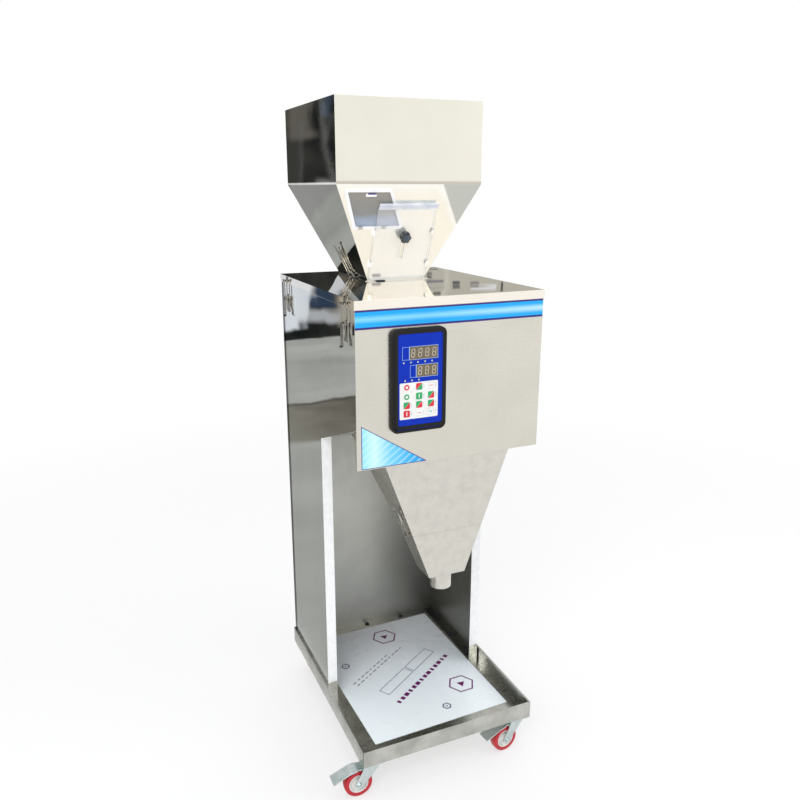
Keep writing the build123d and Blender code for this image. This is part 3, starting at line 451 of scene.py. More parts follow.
def gate_acrylic():
    """Clear plate whose bent pull strip is bluish and less clear, with grey cut edges."""
    shader = Shader("gate_acrylic", (0.97, 0.98, 1.0), roughness=0.08)
    shader.set("IOR", 1.3)
    strip = shader.range(shader.axis("Z"), 0.0, 1.0, (gate_high.z - 15.5) * MM, (gate_high.z - 14) * MM)
    cut = shader.math("GREATER_THAN", shader.math("ABSOLUTE", shader.axis("X", "Normal")), 0.7)
    cloud = shader.noise(25.0, (1, 3, 3), detail=3.0)
    frosted = shader.ramp(cloud, (0.35, (0.62, 0.67, 0.78)), (0.65, (0.86, 0.89, 0.96)))
    tone = shader.mix(strip, (0.97, 0.98, 1.0), frosted)
    shader.set("Base Color", shader.mix(cut, tone, (0.30, 0.31, 0.33)))
    clear = shader.math("MAXIMUM", shader.range(strip, 0.14, 0.9), shader.range(cut, 0.0, 0.85))
    shader.set("Alpha", clear)
    shader.set("Roughness", shader.range(shader.noise(20.0), 0.05, 0.12, 0.3, 0.7))
    return shader.material


def window_clear():
    """Sight pane with a painted reflection: a brown-grey sky at its top and a blue one at its foot."""
    shader = Shader("window_clear", roughness=0.1)
    shader.set("IOR", 1.45)
    shader.set("Transmission Weight", 0.35)
    loose_z = shader.wobble(shader.axis("Z"), 30.0, 0.008)
    height = shader.range(loose_z, 0.0, 1.0, pane_low.z * MM, pane_high.z * MM)
    # Painted reflection of the sky, graded by height.
    tone = shader.ramp(height, (0.0, (0.42, 0.50, 0.66)), (0.22, (0.36, 0.42, 0.54)),
                       (0.40, (0.30, 0.31, 0.31)), (1.0, (0.36, 0.345, 0.31)))
    shader.set("Base Color", tone)
    shader.set("Roughness", shader.range(shader.noise(20.0), 0.06, 0.14, 0.3, 0.7))
    return shader.material


def banner_print():
    """Blue band that is paler along its middle, between two dark edge lines."""
    shader = Shader("banner_print", roughness=0.3)
    height = shader.range(shader.axis("Z"), 0.0, 1.0, BANNER_LOW * MM, BANNER_HIGH * MM)
    navy, purple = (0.010, 0.006, 0.17), (0.07, 0.012, 0.16)
    cyan, pale = (0.0, 0.36, 0.82), (0.22, 0.62, 0.88)
    band = shader.ramp(height, (0.0, purple), (0.05, navy), (0.10, navy), (0.125, cyan), (0.30, cyan),
                       (0.52, pale), (0.74, cyan), (0.89, cyan), (0.915, navy), (1.0, purple))
    along = shader.range(shader.axis("X"), 0.0, 1.0, -0.05, 0.25)
    middle = shader.ramp(height, (0.25, 0.0), (0.5, 1.0), (0.75, 0.0))
    fade = shader.math("MULTIPLY", shader.math("MULTIPLY", along, middle), 0.6)
    shader.set("Base Color", shader.mix(fade, band, (0.62, 0.78, 0.92)))
    shader.bump(shader.noise(200.0), 0.03, 0.0001)
    return shader.material


def sign_print():
    """Sticker that fades from white at its upper left to blue at its tip, with pale slanting beams."""
    shader = Shader("sign_print", roughness=0.3)
    along = shader.range(shader.axis("X"), 0.0, 1.0, -0.222, -0.075)
    tone = shader.ramp(along, (0.0, (0.30, 0.72, 0.92)), (0.18, (0.55, 0.85, 0.95)),
                       (0.45, (0.16, 0.58, 0.88)), (0.8, (0.02, 0.40, 0.80)), (1.0, (0.01, 0.30, 0.72)))
    slant = shader.math("ADD", shader.axis("X"), shader.math("MULTIPLY", shader.axis("Z"), -1.4))
    beams = shader.range(shader.math("SINE", shader.math("MULTIPLY", slant, 260.0)), 0.0, 0.35, 0.2, 1.0)
    shader.set("Base Color", shader.mix(beams, tone, (0.72, 0.90, 0.96)))
    shader.bump(shader.noise(200.0), 0.03, 0.0001)
    return shader.material


def film_print():
    """White protective film, faintly blue towards the front and greyed by painted shade towards the back,
    with soft creases.
    """
    shader = Shader("film", roughness=0.3)
    depth = shader.range(shader.axis("Y"), 0.0, 1.0, film_low.y * MM, film_high.y * MM)
    # Painted shade: the film greys towards the back.
    tone = shader.ramp(depth, (0.0, (0.90, 0.97, 1.0)), (0.45, (0.88, 0.95, 1.0)), (1.0, (0.80, 0.83, 0.87)))
    shader.set("Base Color", tone)
    shader.set("Roughness", shader.range(shader.noise(14.0), 0.22, 0.4, 0.3, 0.7))
    shader.bump(shader.noise(9.0, (1, 0.4, 1), detail=3.0), 0.12, 0.003)
    return shader.material


M = {
    "side": side_sheet(),
    "cover": mirror_sheet("cover_sheet", (0.97, 0.915, 0.83), (0.91, 0.855, 0.77), wave=0.15).material,
    "front": brushed_sheet("front_sheet", (0.70, 0.675, 0.605), (0.65, 0.63, 0.565)),
    "funnel": brushed_sheet("funnel_sheet", (0.69, 0.67, 0.61), (0.60, 0.59, 0.54), grain=(1, 1, 0.3),
                            scale=40.0),
    "bay": bay_sheet(),
    "tray": brushed_sheet("tray_sheet", (0.54, 0.54, 0.50), (0.36, 0.36, 0.33), 0.2, 0.34, (0.05, 1, 1),
                          scale=22.0),
    "steel": brushed_sheet("plain_steel", (0.60, 0.59, 0.57), (0.52, 0.51, 0.49), 0.25, 0.4),
    "zinc": brushed_sheet("zinc_plate", (0.62, 0.68, 0.68), (0.46, 0.52, 0.52), 0.24, 0.4, (1, 1, 1),
                          0.05, 50.0),
    "latch": brushed_sheet("latch_steel", (0.46, 0.45, 0.41), (0.25, 0.24, 0.21), 0.14, 0.28, (1, 1, 1),
                           0.0, 60.0),
    "hopper": hopper_sheet(),
    "film": film_print(),
    "clip": brushed_sheet("clip_steel", (0.90, 0.90, 0.88), (0.80, 0.80, 0.78), 0.5, 0.6, (1, 1, 1), 0.0),
    "post_film": printed("post_film", (0.95, 0.96, 0.96), 0.35),
    "white": plastic("white_plastic", (0.90, 0.91, 0.93), 0.3),
    "wheel": plastic("wheel_core", (0.74, 0.74, 0.71), 0.4),
    "tread": plastic("red_tread", (0.50, 0.008, 0.02), 0.3, 300.0, 0.1),
    "bezel": plastic("bezel_black", (0.010, 0.010, 0.009), 0.5, 120.0, 0.03, specular=0.2),
    "blue": plastic("overlay_blue", (0.002, 0.028, 0.42), 0.5, 200.0, 0.02, specular=0.15),
    "knob": plastic("knob_black", (0.012, 0.016, 0.024), 0.28, 400.0, 0.05),
    # The cap's bluish tint is a painted reflection on black plastic.
    "cap": plastic("knob_cap", (0.035, 0.055, 0.085), 0.2, 400.0, 0.05),
    "black": plastic("switch_black", (0.015, 0.015, 0.015), 0.4, 800.0, 0.1),
    "rubber": plastic("rubber", (0.02, 0.022, 0.035), 0.6, 600.0, 0.15),
    "paint": plastic("motor_paint", (0.10, 0.13, 0.16), 0.45, 260.0, 0.3),
    "alloy": brushed_sheet("milled_alloy", (0.75, 0.76, 0.77), (0.66, 0.67, 0.68), 0.25, 0.38,
                           (1, 0.05, 1), 0.0),
    "acrylic": gate_acrylic(),
    "pane": window_clear(),
    "banner": banner_print(),
    "sign": sign_print(),
    "navy": printed("navy", (0.03, 0.01, 0.22)),
    "display": printed("display_face", (0.15, 0.115, 0.07), 0.15),
    "segment": printed("segment", (0.52, 0.48, 0.38), 0.3),
    "outline": printed("pale_line", (0.30, 0.45, 0.75)),
    "lamp": printed("lamp_dot", (0.55, 0.58, 0.40)),
    "key_white": printed("key_white", (0.80, 0.80, 0.78)),
    "key_grey": printed("key_grey", (0.55, 0.57, 0.57)),
    "key_red": printed("key_red", (0.66, 0.015, 0.035)),
    "key_green": printed("key_green", (0.012, 0.36, 0.11)),
    "key_cyan": printed("key_cyan", (0.10, 0.55, 0.55)),
    "ink": printed("purple_ink", (0.16, 0.012, 0.14)),
    "ink_grey": printed("grey_ink", (0.20, 0.18, 0.27)),
}

NODE_LOOKS = {
    "left_side_panel": "side", "right_side_panel": "side", "top_cover": "cover", "front_panel": "front",
    "discharge_funnel": "funnel", "funnel_tip": "funnel", "back_panel": "bay", "rear_cover": "bay",
    "base_tray": "tray", "film_plate": "film", "hopper": "hopper", "window_frame": "white",
    "window_pane": "pane", "gate_plate": "acrylic", "gate_knob": "knob", "gear_motor": "paint",
    "flap_motor": "paint", "load_cell": "alloy", "control_housing": "bezel", "control_membrane": "blue",
    "power_inlet": "black", "power_switch": "black", "latch_bases": "latch", "latch_keepers": "latch",
    "caster_plates": "zinc", "gate_clips": "clip",
}
NODE_PREFIXES = {"caster_fork": "zinc", "brake_pedal": "zinc", "latch_": "latch", "caster_wheel": "wheel"}


def look_of(name):
    if name in NODE_LOOKS:
        return NODE_LOOKS[name]
    for prefix, look in NODE_PREFIXES.items():
        if name.startswith(prefix):
            return look
    return "steel"


for node_name, node in frame["nodes"].items():
    node.data.materials.clear()
    node.data.materials.append(M[look_of(node_name)])


# Printed band and sign on the head

def add_print(bm, outline, x=0.0, z=0.0, low=LIFT, high=SKIN, y=HEAD_FRONT, slot=0):
    """Thin layer on the head's front."""
    add_prism(bm, shifted(outline, x, z), low, high, on_front(0, 0, y), slot)


def front_prints():
    bm = bmesh.new()
    band = rectangle(2 * HEAD_HALF - 0.6, BANNER_HIGH - BANNER_LOW)
    add_print(bm, band, z=(BANNER_LOW + BANNER_HIGH) / 2)
    make_piece("head_banner", bm, ["banner"])
    bm = bmesh.new()
    add_print(bm, SIGN_CORNERS)
    add_print(bm, shrunk(SIGN_CORNERS, 1.6), low=SKIN, high=1.4 * SKIN, slot=1)
    make_piece("corner_sign", bm, ["navy", "sign"])


front_prints()


# Control unit. Its rim stands 4.5 mm further left and 6 mm lower than the CAD bezel, as in the photograph.

BEZEL_LEFT, BEZEL_RIGHT = bezel_low.x - 4.5, bezel_high.x
BEZEL_BOTTOM, BEZEL_TOP = bezel_low.z - 6, bezel_high.z
BEZEL_EDGE, BEZEL_CORNER = 7.5, 15
OVERLAY_CUT = 8
OVERLAY_FRONT = membrane_low.y
SEGMENTS = ((0, 1, False), (-1, 0.5, True), (1, 0.5, True), (0, 0, False), (-1, -0.5, True), (1, -0.5, True),
            (0, -1, False))


def cut_corners(width, height, cut):
    w, h = width / 2, height / 2
    return [(-w + cut, -h), (w - cut, -h), (w, -h + cut), (w, h - cut), (w - cut, h), (-w + cut, h),
            (-w, h - cut), (-w, -h + cut)]


def add_ring(bm, outer, inner, low, high, place, slot=0):
    """Band between two outlines with the same number of points."""
    count = len(outer)
    rows = []
    for outline, height in ((outer, low), (outer, high), (inner, high), (inner, low)):
        rows.append([bm.verts.new(place @ Vector((x, y, height))) for x, y in outline])
    for a, b in zip(rows, rows[1:] + rows[:1]):
        for i in range(count):
            j = (i + 1) % count
            bm.faces.new((a[i], a[j], b[j], b[i])).material_index = slot


def control_bezel():
    width, height = BEZEL_RIGHT - BEZEL_LEFT, BEZEL_TOP - BEZEL_BOTTOM
    middle_x, middle_z = (BEZEL_LEFT + BEZEL_RIGHT) / 2, (BEZEL_BOTTOM + BEZEL_TOP) / 2
    depth = HEAD_FRONT - OVERLAY_FRONT
    opening = rounded(width - 2 * BEZEL_EDGE + 1, height - 2 * BEZEL_EDGE + 1, OVERLAY_CUT)
    place = on_front(middle_x, middle_z)
    bm = bmesh.new()
    add_ring(bm, rounded(width, height, BEZEL_CORNER), opening, 0.1, depth + 0.4, place)
    make_piece("control_bezel", bm, ["bezel"], bevel=3.2, segments=5)
    bm = bmesh.new()
    overlay = cut_corners(width - 2 * BEZEL_EDGE, height - 2 * BEZEL_EDGE, OVERLAY_CUT)
    add_prism(bm, overlay, depth - 0.7, depth, place)
    sheet = make_piece("control_overlay", bm, ["blue"], bevel=0.2, segments=1)
    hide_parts("control_membrane")


def add_digit(bm, x, z, width, height, place, low, high, slot):
    """All seven bars of an unlit number, with pointed ends."""
    bar = 1.5
    for across, up, upright in SEGMENTS:
        half = (height / 2 - 0.6 if upright else width - 0.6) / 2
        points = [(-half, 0), (-half + bar / 2, -bar / 2), (half - bar / 2, -bar / 2), (half, 0),
                  (half - bar / 2, bar / 2), (-half + bar / 2, bar / 2)]
        if upright:
            points = [(-b, a) for a, b in points]
        lean = 0.08 * up * height / 2
        points = shifted(points, x + across * width / 2 + lean, z + up * height / 2)
        add_prism(bm, points, low, high, place, slot)


def add_frame_line(bm, x0, x1, z0, z1, line, place, low, high, slot):
    """Thin rectangle drawn as four bars."""
    for a, b, c, d in ((x0, x1, z0, z0 + line), (x0, x1, z1 - line, z1),
                       (x0, x0 + line, z0 + line, z1 - line), (x1 - line, x1, z0 + line, z1 - line)):
        add_prism(bm, [(a, c), (b, c), (b, d), (a, d)], low, high, place, slot)


def control_displays():
    """Two number displays in pale frames, with a row of lamps under each."""
    glass, line, bars, lamps = range(4)
    bm = bmesh.new()
    place = on_front(0, 0, OVERLAY_FRONT)
    displays = ((-114, -132, -45, 1128, 1156.5, 4), (-97, -113, -45, 1087, 1114.5, 3))
    for left, label, right, low, high, digits in displays:
        add_prism(bm, [(left, low), (right, low), (right, high), (left, high)], LIFT, 0.3, place, glass)
        add_frame_line(bm, left - 1, right + 1, low - 1, high + 1, 1.0, place, LIFT, 0.45, line)
        add_frame_line(bm, label, left - 1, low - 0.5, high + 0.5, 0.8, place, LIFT, 0.35, line)
        pitch = (right - left) / digits
        for index in range(digits):
            add_digit(bm, left + pitch * (index + 0.5), (low + high) / 2, 7.5, 18, place, 0.3, 0.42, bars)
    lamp = [(0, 0), (2.0, 0), (2.0, 0.4), (1.4, 0.8), (0, 0.95)]
    for xs, z in (((-128.5, -111, -93.8, -76.2, -58.7), 1121.3), ((-125, -108.3, -91), 1080.3)):
        for x in xs:
            add_dome(bm, lamp, place @ Matrix.Translation((x, z, LIFT)), 16, lamps)
    make_piece("control_displays", bm, ["display", "outline", "segment", "lamp"])


def control_keys():
    """White key field with twelve embossed keys, some split along a diagonal."""
    white, red, green, grey, cyan = range(5)
    bm = bmesh.new()
    place = on_front(0, 0, OVERLAY_FRONT)
    add_prism(bm, shifted(rounded(95, 85, 3), -90.8, 1032.8), LIFT, 0.3, place, white)
    columns = (-121, -90.3, -60.5)
    rows = (1064.7, 1042.6, 1022.6, 1003)
    kinds = (((red,), (red, green), (grey,)), ((green,), (green,), (green, red)),
             ((green, red), (green, red), (green, red)), ((red,), (grey,), (cyan,)))
    size, low, high = 15.5, 0.3, 0.75
    for row, (z, row_kinds) in enumerate(zip(rows, kinds)):
        for x, kind in zip(columns, row_kinds):
            spot = place @ Matrix.Translation((x, z, 0))
            if row < 2 and x == columns[0]:
                button = [(0, low), (6.5, low), (6.5, high - 0.1), (5.8, high), (0, high)]
                add_dome(bm, button, spot, 24, kind[0])
                add_dome(bm, [(0, high), (3.2, high), (3.2, high + 0.15), (0, high + 0.15)], spot, 20, white)
                continue
            outline = rounded(size, size, 2.4)
            if kind[0] in (grey, cyan):
                half = size / 2
                add_frame_line(bm, x - half, x + half, z - half, z + half, 0.5, place, low, 0.4, grey)
                mark = rectangle(9, 1.2) if kind[0] == grey else rectangle(4, 4)
                add_prism(bm, shifted(mark, x, z), low, 0.45, place, red if kind[0] == grey else cyan)
            elif len(kind) == 1:
                add_prism(bm, shifted(outline, x, z), low, high, place, kind[0])
                add_prism(bm, shifted(rectangle(2.2, 9), x, z), high, high + 0.12, place, white)
            else:
                upper = [point for point in outline if point[1] >= point[0]]
                lower = [point for point in outline if point[1] <= point[0]]
                add_prism(bm, shifted(upper, x, z), low, high, place, kind[0])
                add_prism(bm, shifted(lower, x, z), low, high, place, kind[1])
            add_prism(bm, shifted(rectangle(1.6, 10), x + size / 2 + 4, z), low, 0.38, place, grey)
    make_piece("control_keys", bm, ["key_white", "key_red", "key_green", "key_grey", "key_cyan"])


control_bezel()
control_displays()
control_keys()


# Film left on the posts and the prints on the loose plate

def post_film():
    """White strips down the posts, their lower ends cut a little askew."""
    low, high, width = 152, 876, 26.4
    for side, name in ((-1, "left"), (1, "right")):
        bm = bmesh.new()
        middle = side * (HEAD_HALF - width / 2 - 0.3)
        outline = [(-width / 2, low), (width / 2, low + 3), (width / 2, high), (-width / 2, high)]
        add_print(bm, outline, x=middle, low=0.03, y=POST_FRONT)
        make_piece(f"post_film_{name}", bm, ["post_film"])


def plate_prints():
    """Purple and grey marks in a layout of their own: hexagon rings, rules and dashes."""
    centre = (film_low + film_high) / 2
    centre.z = film_high.z
    place = frame_at(centre, X, Z) @ Matrix.Rotation(math.radians(1.5), 4, "Z")
    skew = place @ Matrix.Rotation(math.radians(32), 4, "Z")
    high = 0.12
    bm = bmesh.new()
    for x, y, radius, slot in ((125, -130, 40, 0), (40, -200, 14, 1), (20, 185, 40, 0), (-150, 90, 14, 1)):
        spot = place @ Matrix.Translation((x, y, 0))
        add_ring(bm, polygon(radius, 6), polygon(radius - 5, 6), LIFT, high, spot, slot)
        add_prism(bm, polygon(radius * 0.35, 3, 0.4), LIFT, high, spot, slot)
    for row, (y, count) in enumerate(((-70, 14), (70, 12), (84, 9))):
        for index in range(count):
            dash = rectangle(9 + 3.5 * ((index * 7 + row) % 3), 3.5 if row else 13)
            add_prism(bm, shifted(dash, -130 + 20 * index, y), LIFT, high, skew, 1 if row else 0)
    for x0, x1 in ((-120, 10), (14, 130)):
        add_frame_line(bm, x0, x1, -30, 5, 2.2, skew, LIFT, high, 1)
    make_piece("plate_prints", bm, ["ink", "ink_grey"])


post_film()
plate_prints()


# Hopper's front slope: knob, window tag and clips

def slope_frame(x, z):
    """Frame on the slope at a height: local z looks out of the metal and local x is +X."""
    place, axis = joint_place("gate_knob_turn")
    down = axis.cross(X)
    if down.z > 0:
        down = -down
    return frame_at(place + X * x + down * ((z - place.z) / down.z), X, axis)


def gate_knob_look():
    """Six-lobed black knob with a smooth cap over its stud; the cap's bluish tint is a painted reflection.
    """
    place, axis = joint_place("gate_knob_turn")
    spot = frame_at(place, X, axis)
    skirt = [(0, 6.3), (12.6, 6.3), (14.4, 7.6), (15.2, 10.5), (15.2, 17.5), (14.6, 20.5), (12.6, 22.6),
             (9.6, 23.2), (0, 23.2)]
    cap = [(0, 23.0), (8.8, 23.0), (8.4, 24.2), (6.4, 25.2), (3.4, 25.7), (0, 25.8)]
    bm = bmesh.new()
    add_dome(bm, skirt, spot, 96, 0, 6, 0.16)
    add_dome(bm, cap, spot, 48, 1)
    knob = make_piece("gate_knob_look", bm, ["knob", "cap"], "knob", smooth=50)
    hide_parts("gate_knob")


def window_fittings():
    """Tag at the pane's head and two small clips at its foot."""
    bm = bmesh.new()
    middle = (pane_low.x + pane_high.x) / 2
    tag = slope_frame(middle - 14, pane_high.z - 6)
    add_prism(bm, rounded(28, 8, 1.5), 3.2, 4.4, tag, 0)
    add_prism(bm, shifted(rounded(22, 3, 0.8), 2, 3.2), 4.42, 4.9, tag, 1)
    for x in (-31, 31):
        clip = slope_frame(middle + x, pane_low.z - 2)
        add_prism(bm, rounded(11, 7, 1.5), 2.2, 5.2, clip, 2)
    make_piece("window_fittings", bm, ["white", "navy", "steel"], bevel=0.3)


gate_knob_look()
window_fittings()


# Fasteners

def add_bolt(bm, spot, radius, head, slot=0):
    """Hexagon head on a washer, with a turned-down crown."""
    top = 0.9 + head
    add_prism(bm, polygon(radius * 1.55, 24), LIFT, 0.9, spot, slot)
    add_prism(bm, polygon(radius, 6), 0.9, top, spot, slot)
    crown = [(0, top), (radius * 0.72, top), (radius * 0.66, top + 0.35), (0, top + 0.4)]
    add_dome(bm, crown, spot, 20, slot)


def add_screw(bm, spot, radius, slot=0):
    """Pan head with a round recess."""
    profile = [(0, 0.01), (radius, 0.01), (radius, 0.25 * radius), (radius * 0.8, 0.5 * radius),
               (radius * 0.35, 0.55 * radius), (radius * 0.3, 0.3 * radius), (0, 0.25 * radius)]
    add_dome(bm, profile, spot, 20, slot)


def foot_bolts():
    bm = bmesh.new()
    top = side_low.z + 1.5
    for side in (-1, 1):
        for y in (-8, 105, 218):
            add_bolt(bm, frame_at((side * (HEAD_HALF - 13.5), y, top), X, Z), 5, 4)
    for x in (-120, 0, 120):
        add_bolt(bm, frame_at((x, side_high.y - 13.5, top), X, Z), 5, 4)
    make_piece("foot_bolts", bm, ["rubber"], bevel=0.3)


def caster_bolts():
    """Nuts under each caster's plate."""
    reach, thickness = 23, 2.5
    bm = bmesh.new()
    for name in JOINTS:
        if name.startswith("caster_swivel"):
            centre = joint_place(name)[0]
            for x in (-reach, reach):
                for y in (-reach, reach):
                    spot = frame_at((centre.x + x, centre.y + y, plates_high.z - thickness), X, -Z)
                    add_bolt(bm, spot, 4.2, 2.2)
    make_piece("caster_bolts", bm, ["zinc"], bevel=0.25)


def rear_screws():
    bm = bmesh.new()
    rear = rear_high.y
    reach = rear_high.x - 14
    for x in (-reach, 0, reach):
        for z in (rear_low.z + 12, rear_high.z - 32):
            add_screw(bm, frame_at((x, rear, z), -X, Y), 4)
    for x in (-reach, reach):
        for z in (180, 360, 540, 720, 880):
            add_screw(bm, frame_at((x, rear, z), -X, Y), 4)
    make_piece("rear_screws", bm, ["latch"])


def cover_stop():
    """Rubber block on the top cover in front of the hopper's foot."""
    bm = bmesh.new()
    add_prism(bm, rounded(24, 6, 1.5), 0.05, 3, frame_at((-50, 4, cover_high.z), X, Z))
    make_piece("cover_stop", bm, ["rubber"], bevel=0.8, segments=3)


foot_bolts()
caster_bolts()
rear_screws()
cover_stop()


# Caster wheels

def wheels():
    """Red tread with rounded shoulders on a pale core with a recessed web."""
    half_tread = [(25.4, 10.5), (33.5, 12), (35.6, 11.2), (36.8, 9), (37.4, 5)]
    half_core = [(4.1, 13.5), (9, 13.5), (10, 12.6), (11, 6), (12.5, 5), (19.5, 5), (21.5, 6), (22.5, 10),
                 (23.5, 11), (25.6, 11)]
    tread = [(r, -h) for r, h in half_tread] + [(37.5, 0)] + half_tread[::-1]
    core = [(r, -h) for r, h in half_core] + half_core[::-1]
    for name in JOINTS:
        if name.startswith("wheel_spin"):
            corner = name.replace("wheel_spin_", "")
            centre, axis = joint_place(name)
            spot = frame_at(centre, Z, axis)
            bm = bmesh.new()
            add_lathe(bm, tread, spot, 64, 0)
            add_lathe(bm, core, spot, 64, 1)
            wheel = make_piece(f"wheel_{corner}_look", bm, ["tread", "wheel"], f"wheel_{corner}")
            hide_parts(f"caster_wheel_{corner}")


wheels()


# Studio: floor, white surroundings, panels that show only in polished metal, lamps and camera

def stage_mesh(name, quads, material, only_gloss=True):
    points = [corner for quad in quads for corner in quad]
    faces = [tuple(range(4 * i, 4 * i + 4)) for i in range(len(quads))]
    mesh = bpy.data.meshes.new(name)
    mesh.from_pydata(points, [], faces)
    mesh.materials.append(material)
    stage = bpy.data.objects.new(name, mesh)
    bpy.context.collection.objects.link(stage)
    if only_gloss:
        stage.visible_camera = False
        stage.visible_diffuse = False
        stage.visible_shadow = False
        stage.visible_transmission = False


def upright(x0, y0, x1, y1, low, high):
    return [(x0, y0, low), (x1, y1, low), (x1, y1, high), (x0, y0, high)]


def flat(x0, x1, y0, y1, z):
    return [(x0, y0, z), (x1, y0, z), (x1, y1, z), (x0, y1, z)]


def glowing(shader, colour):
    glow = shader.node("ShaderNodeEmission", Color=colour)
    shader.tree.links.new(glow.outputs[0], shader.tree.nodes["Material Output"].inputs["Surface"])
    return shader.material


def studio_floor():
    """Pale floor that takes the soft shadows near the machine and runs out into white."""
    shader = Shader("floor", (0.84, 0.84, 0.845), roughness=0.6)
    tree = shader.tree
    paths = tree.nodes.new("ShaderNodeLightPath")
    glow = tree.nodes.new("ShaderNodeEmission")
    blend = tree.nodes.new("ShaderNodeMixShader")
    far = tree.nodes.new("ShaderNodeVectorMath")
    far.operation = "LENGTH"
    tree.links.new(shader.coordinates.outputs["Object"], far.inputs[0])
    share = shader.range(far.outputs["Value"], 0.6, 1.0, 0.9, 3.2)
    seen = shader.math("MULTIPLY", paths.outputs["Is Camera Ray"], share)
    tree.links.new(shader.math("MAXIMUM", seen, paths.outputs["Is Glossy Ray"]), blend.inputs[0])
    tree.links.new(shader.surface.outputs[0], blend.inputs[1])
    tree.links.new(glow.outputs[0], blend.inputs[2])
    tree.links.new(blend.outputs[0], tree.nodes["Material Output"].inputs["Surface"])
    stage_mesh("floor", [flat(-30, 30, -30, 30, 0)], shader.material, only_gloss=False)


def studio_world():
    world = bpy.data.worlds.new("studio")
    bpy.context.scene.world = world
    world.use_nodes = True
    tree = world.node_tree
    tree.nodes.clear()
    paths = tree.nodes.new("ShaderNodeLightPath")
    share = paths.outputs["Is Camera Ray"]
    for ray in ("Is Glossy Ray", "Is Transmission Ray"):
        either = tree.nodes.new("ShaderNodeMath")
        either.operation = "MAXIMUM"
        tree.links.new(share, either.inputs[0])
        tree.links.new(paths.outputs[ray], either.inputs[1])
        share = either.outputs[0]
    ambient = tree.nodes.new("ShaderNodeBackground")
    ambient.inputs["Color"].default_value = (0.97, 0.98, 1.0, 1)
    ambient.inputs["Strength"].default_value = 0.75
    white = tree.nodes.new("ShaderNodeBackground")
    white.inputs["Color"].default_value = (1, 1, 1, 1)
    blend = tree.nodes.new("ShaderNodeMixShader")
    output = tree.nodes.new("ShaderNodeOutputWorld")
    tree.links.new(share, blend.inputs[0])
    tree.links.new(ambient.outputs[0], blend.inputs[1])
    tree.links.new(white.outputs[0], blend.inputs[2])
    tree.links.new(blend.outputs[0], output.inputs["Surface"])


def yard_panel():
    """Panel behind the machine: dark, with soft pale shapes for the left side's polished sheets."""
    shader = Shader("yard_panel")
    x, z = shader.axis("X"), shader.axis("Z")
    loose_x = shader.wobble(x, 2.5, 0.12)
    loose_z = shader.wobble(z, 3.0, 0.06)
    tone = shader.ramp(shader.noise(2.5, (1, 1, 0.5), detail=4.0), (0.40, (0.010, 0.012, 0.012)),
                       (0.75, (0.055, 0.055, 0.05)))

    def lay(base, colour, x_low, x_high, z_low, z_high, soft=0.02, across=loose_x, up=loose_z):
        """Patch of one colour between two places across and two heights, in metres."""
        mask = shader.math("MULTIPLY", shader.band(across, x_low, x_high, soft),
                           shader.band(up, z_low, z_high, soft))
        return shader.mix(mask, base, colour)

    def stroke(base, colour, x_low, x_high, z_low, z_high, width):
        """Thin line from its lower end to its upper one."""
        lean = (x_high - x_low) / (z_high - z_low)
        offset = shader.math("SUBTRACT", shader.math("MULTIPLY", z, lean), x)
        offset = shader.wobble(offset, 5.0, 0.006)
        centre = lean * z_low - x_low
        mask = shader.math("MULTIPLY", shader.band(offset, centre - width, centre + width, 0.004),
                           shader.band(z, z_low, z_high, 0.01))
        return shader.mix(mask, base, colour)

    tone = lay(tone, (0.34, 0.345, 0.335), -1.45, 1.0, -0.5, 0.36)
    tone = lay(tone, (0.03, 0.05, 0.09), -2.25, -1.9, 0.33, 0.7)
    tone = lay(tone, (0.42, 0.44, 0.46), -2.3, -1.9, 0.18, 0.30, 0.03)
    tone = lay(tone, (0.40, 0.37, 0.31), -2.9, -2.27, 0.12, 0.45, 0.04)
    tone = lay(tone, (0.72, 0.76, 0.82), -1.94, -1.46, 0.10, 0.72)
    tone = lay(tone, (0.14, 0.13, 0.115), -1.92, -1.72, 1.93, 2.7, 0.03)
    tone = lay(tone, (0.05, 0.05, 0.045), -1.80, -1.5, 1.5, 1.95, 0.05)
    tone = lay(tone, (0.06, 0.09, 0.14), -2.13, -2.06, 2.16, 2.5, 0.01)
    tone = lay(tone, (0.33, 0.33, 0.32), -2.13, -1.96, 1.40, 1.59, 0.03)
    tone = stroke(tone, (0.36, 0.36, 0.34), -2.085, -2.037, 1.68, 1.885, 0.008)
    tone = stroke(tone, (0.36, 0.36, 0.34), -2.037, -2.02, 1.885, 2.6, 0.009)
    tone = stroke(tone, (0.42, 0.42, 0.40), -2.131, -2.085, 1.45, 1.68, 0.01)
    tone = stroke(tone, (0.26, 0.26, 0.25), -2.055, -2.14, 1.93, 2.19, 0.006)
    tone = stroke(tone, (0.20, 0.21, 0.21), -1.805, -1.825, 1.5, 2.1, 0.006)
    tone = lay(tone, (0.46, 0.45, 0.40), 1.95, 5.6, 0.9, 4.6, 0.05)
    tone = lay(tone, (0.53, 0.52, 0.47), 2.98, 3.05, 1.5, 2.6, 0.02)
    spots = ((2.78, 2.90, 1.845, 1.87, 0.06), (2.77, 2.83, 1.925, 1.955, 0.06),
             (2.77, 2.97, 1.98, 2.045, 0.20), (3.08, 3.17, 2.02, 2.08, 0.10),
             (3.30, 3.41, 2.045, 2.067, 0.05), (2.85, 2.94, 2.115, 2.15, 0.06),
             (3.69, 3.72, 2.03, 2.15, 0.08))
    for x_low, x_high, z_low, z_high, dark in spots:
        tone = lay(tone, (dark, dark, 1.15 * dark), x_low, x_high, z_low, z_high, 0.006, x, z)
    tone = lay(tone, (0.80, 0.84, 0.92), 3.30, 3.63, 2.085, 2.115, 0.008, x, z)
    stage_mesh("yard_panel", [upright(-3.4, 5.6, 5.4, 5.6, 0, 4.4)], glowing(shader, tone))


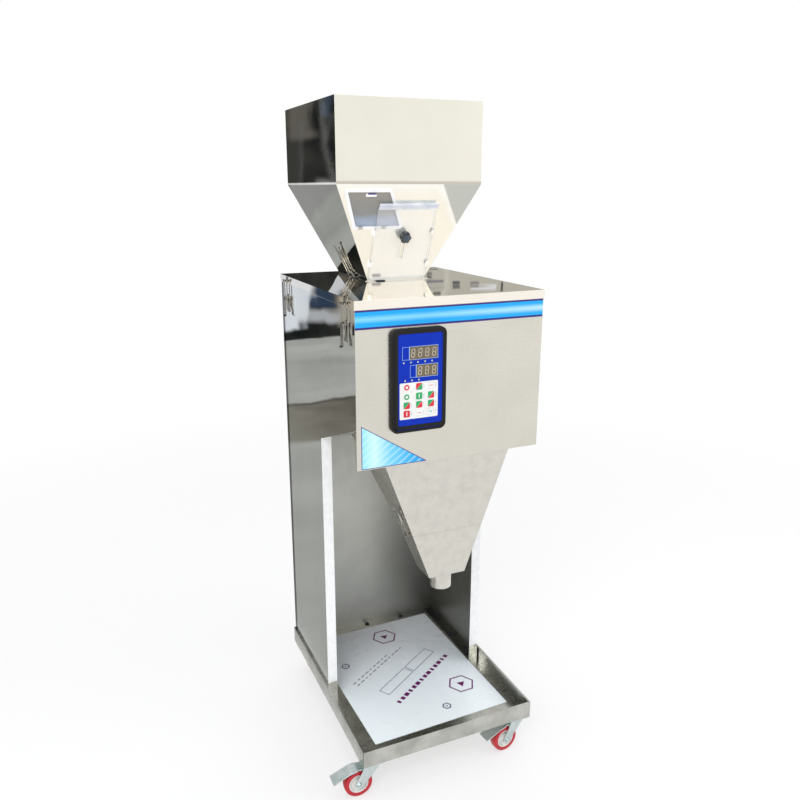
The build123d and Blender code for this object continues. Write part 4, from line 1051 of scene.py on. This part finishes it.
def yard_ground():
    """Grey ground beside the machine, seen only in its polished sheets."""
    shader = Shader("yard_ground")
    fine = shader.noise(60.0, detail=4.0)
    coarse = shader.noise(1.6, (0.5, 1, 1), detail=3.0)
    value = shader.math("ADD", shader.math("MULTIPLY", fine, 0.35), shader.math("MULTIPLY", coarse, 0.65))
    tone = shader.ramp(value, (0.35, (0.32, 0.33, 0.32)), (0.65, (0.47, 0.48, 0.46)))
    kerb = shader.band(shader.wobble(shader.axis("Y"), 3.0, 0.05), 2.46, 3.28, 0.02)
    patch = shader.range(shader.wobble(shader.axis("X"), 4.0, 0.15), 1.0, 0.0, -1.45, -0.9)
    brown = shader.mix(patch, (0.24, 0.235, 0.20), (0.13, 0.12, 0.10))
    tone = shader.mix(kerb, tone, brown)
    line = shader.band(shader.wobble(shader.axis("Y"), 3.0, 0.05), 3.22, 3.30, 0.01)
    tone = shader.mix(shader.math("MULTIPLY", line, 0.6), tone, (0.07, 0.065, 0.055))
    stage_mesh("yard_ground", [flat(-5.5, -0.30, -0.4, 5.6, 0.004)], glowing(shader, tone))


def pale_panels():
    """Light grey panels with soft upright streaks, for the right side and the rear."""
    shader = Shader("pale_panels")
    streaks = shader.noise(1.6, (1, 1, 0.2), detail=3.0)
    tone = shader.ramp(streaks, (0.36, (0.16, 0.165, 0.17)), (0.46, (0.55, 0.56, 0.57)),
                       (0.62, (0.86, 0.86, 0.85)))
    quads = [upright(5.5, -2.5, 5.5, 5.5, 0, 2.4), upright(-5.6, -3.5, -5.6, 3.5, 0, 2.0)]
    stage_mesh("pale_panels", quads, glowing(shader, tone))


def studio_lamp(name, location, target, size, energy):
    light = bpy.data.lights.new(name, "AREA")
    light.shape = "SQUARE"
    light.size = size
    light.energy = energy
    lamp = bpy.data.objects.new(name, light)
    bpy.context.collection.objects.link(lamp)
    lamp.location = location
    lamp.rotation_mode = "QUATERNION"
    lamp.rotation_quaternion = (Vector(target) - Vector(location)).to_track_quat("-Z", "Y")


def camera():
    data = bpy.data.cameras.new("camera")
    data.sensor_width = 36.0
    data.lens = 34.357
    view = bpy.data.objects.new("camera", data)
    bpy.context.collection.objects.link(view)
    view.location = (-0.79828, -1.82905, 1.49614)
    view.rotation_euler = (1.29948, 0, -0.41280)
    bpy.context.scene.camera = view


studio_floor()
studio_world()
yard_panel()
yard_ground()
pale_panels()
studio_lamp("key", (-2.2, -2.6, 3.2), (0, 0, 0.9), 2.0, 70)
studio_lamp("fill", (2.6, -1.6, 2.2), (0, 0, 0.8), 2.0, 30)
studio_lamp("top", (0.0, 0.4, 4.0), (0, 0, 0.0), 2.5, 40)
bpy.context.scene.view_settings.view_transform = "Standard"
camera()
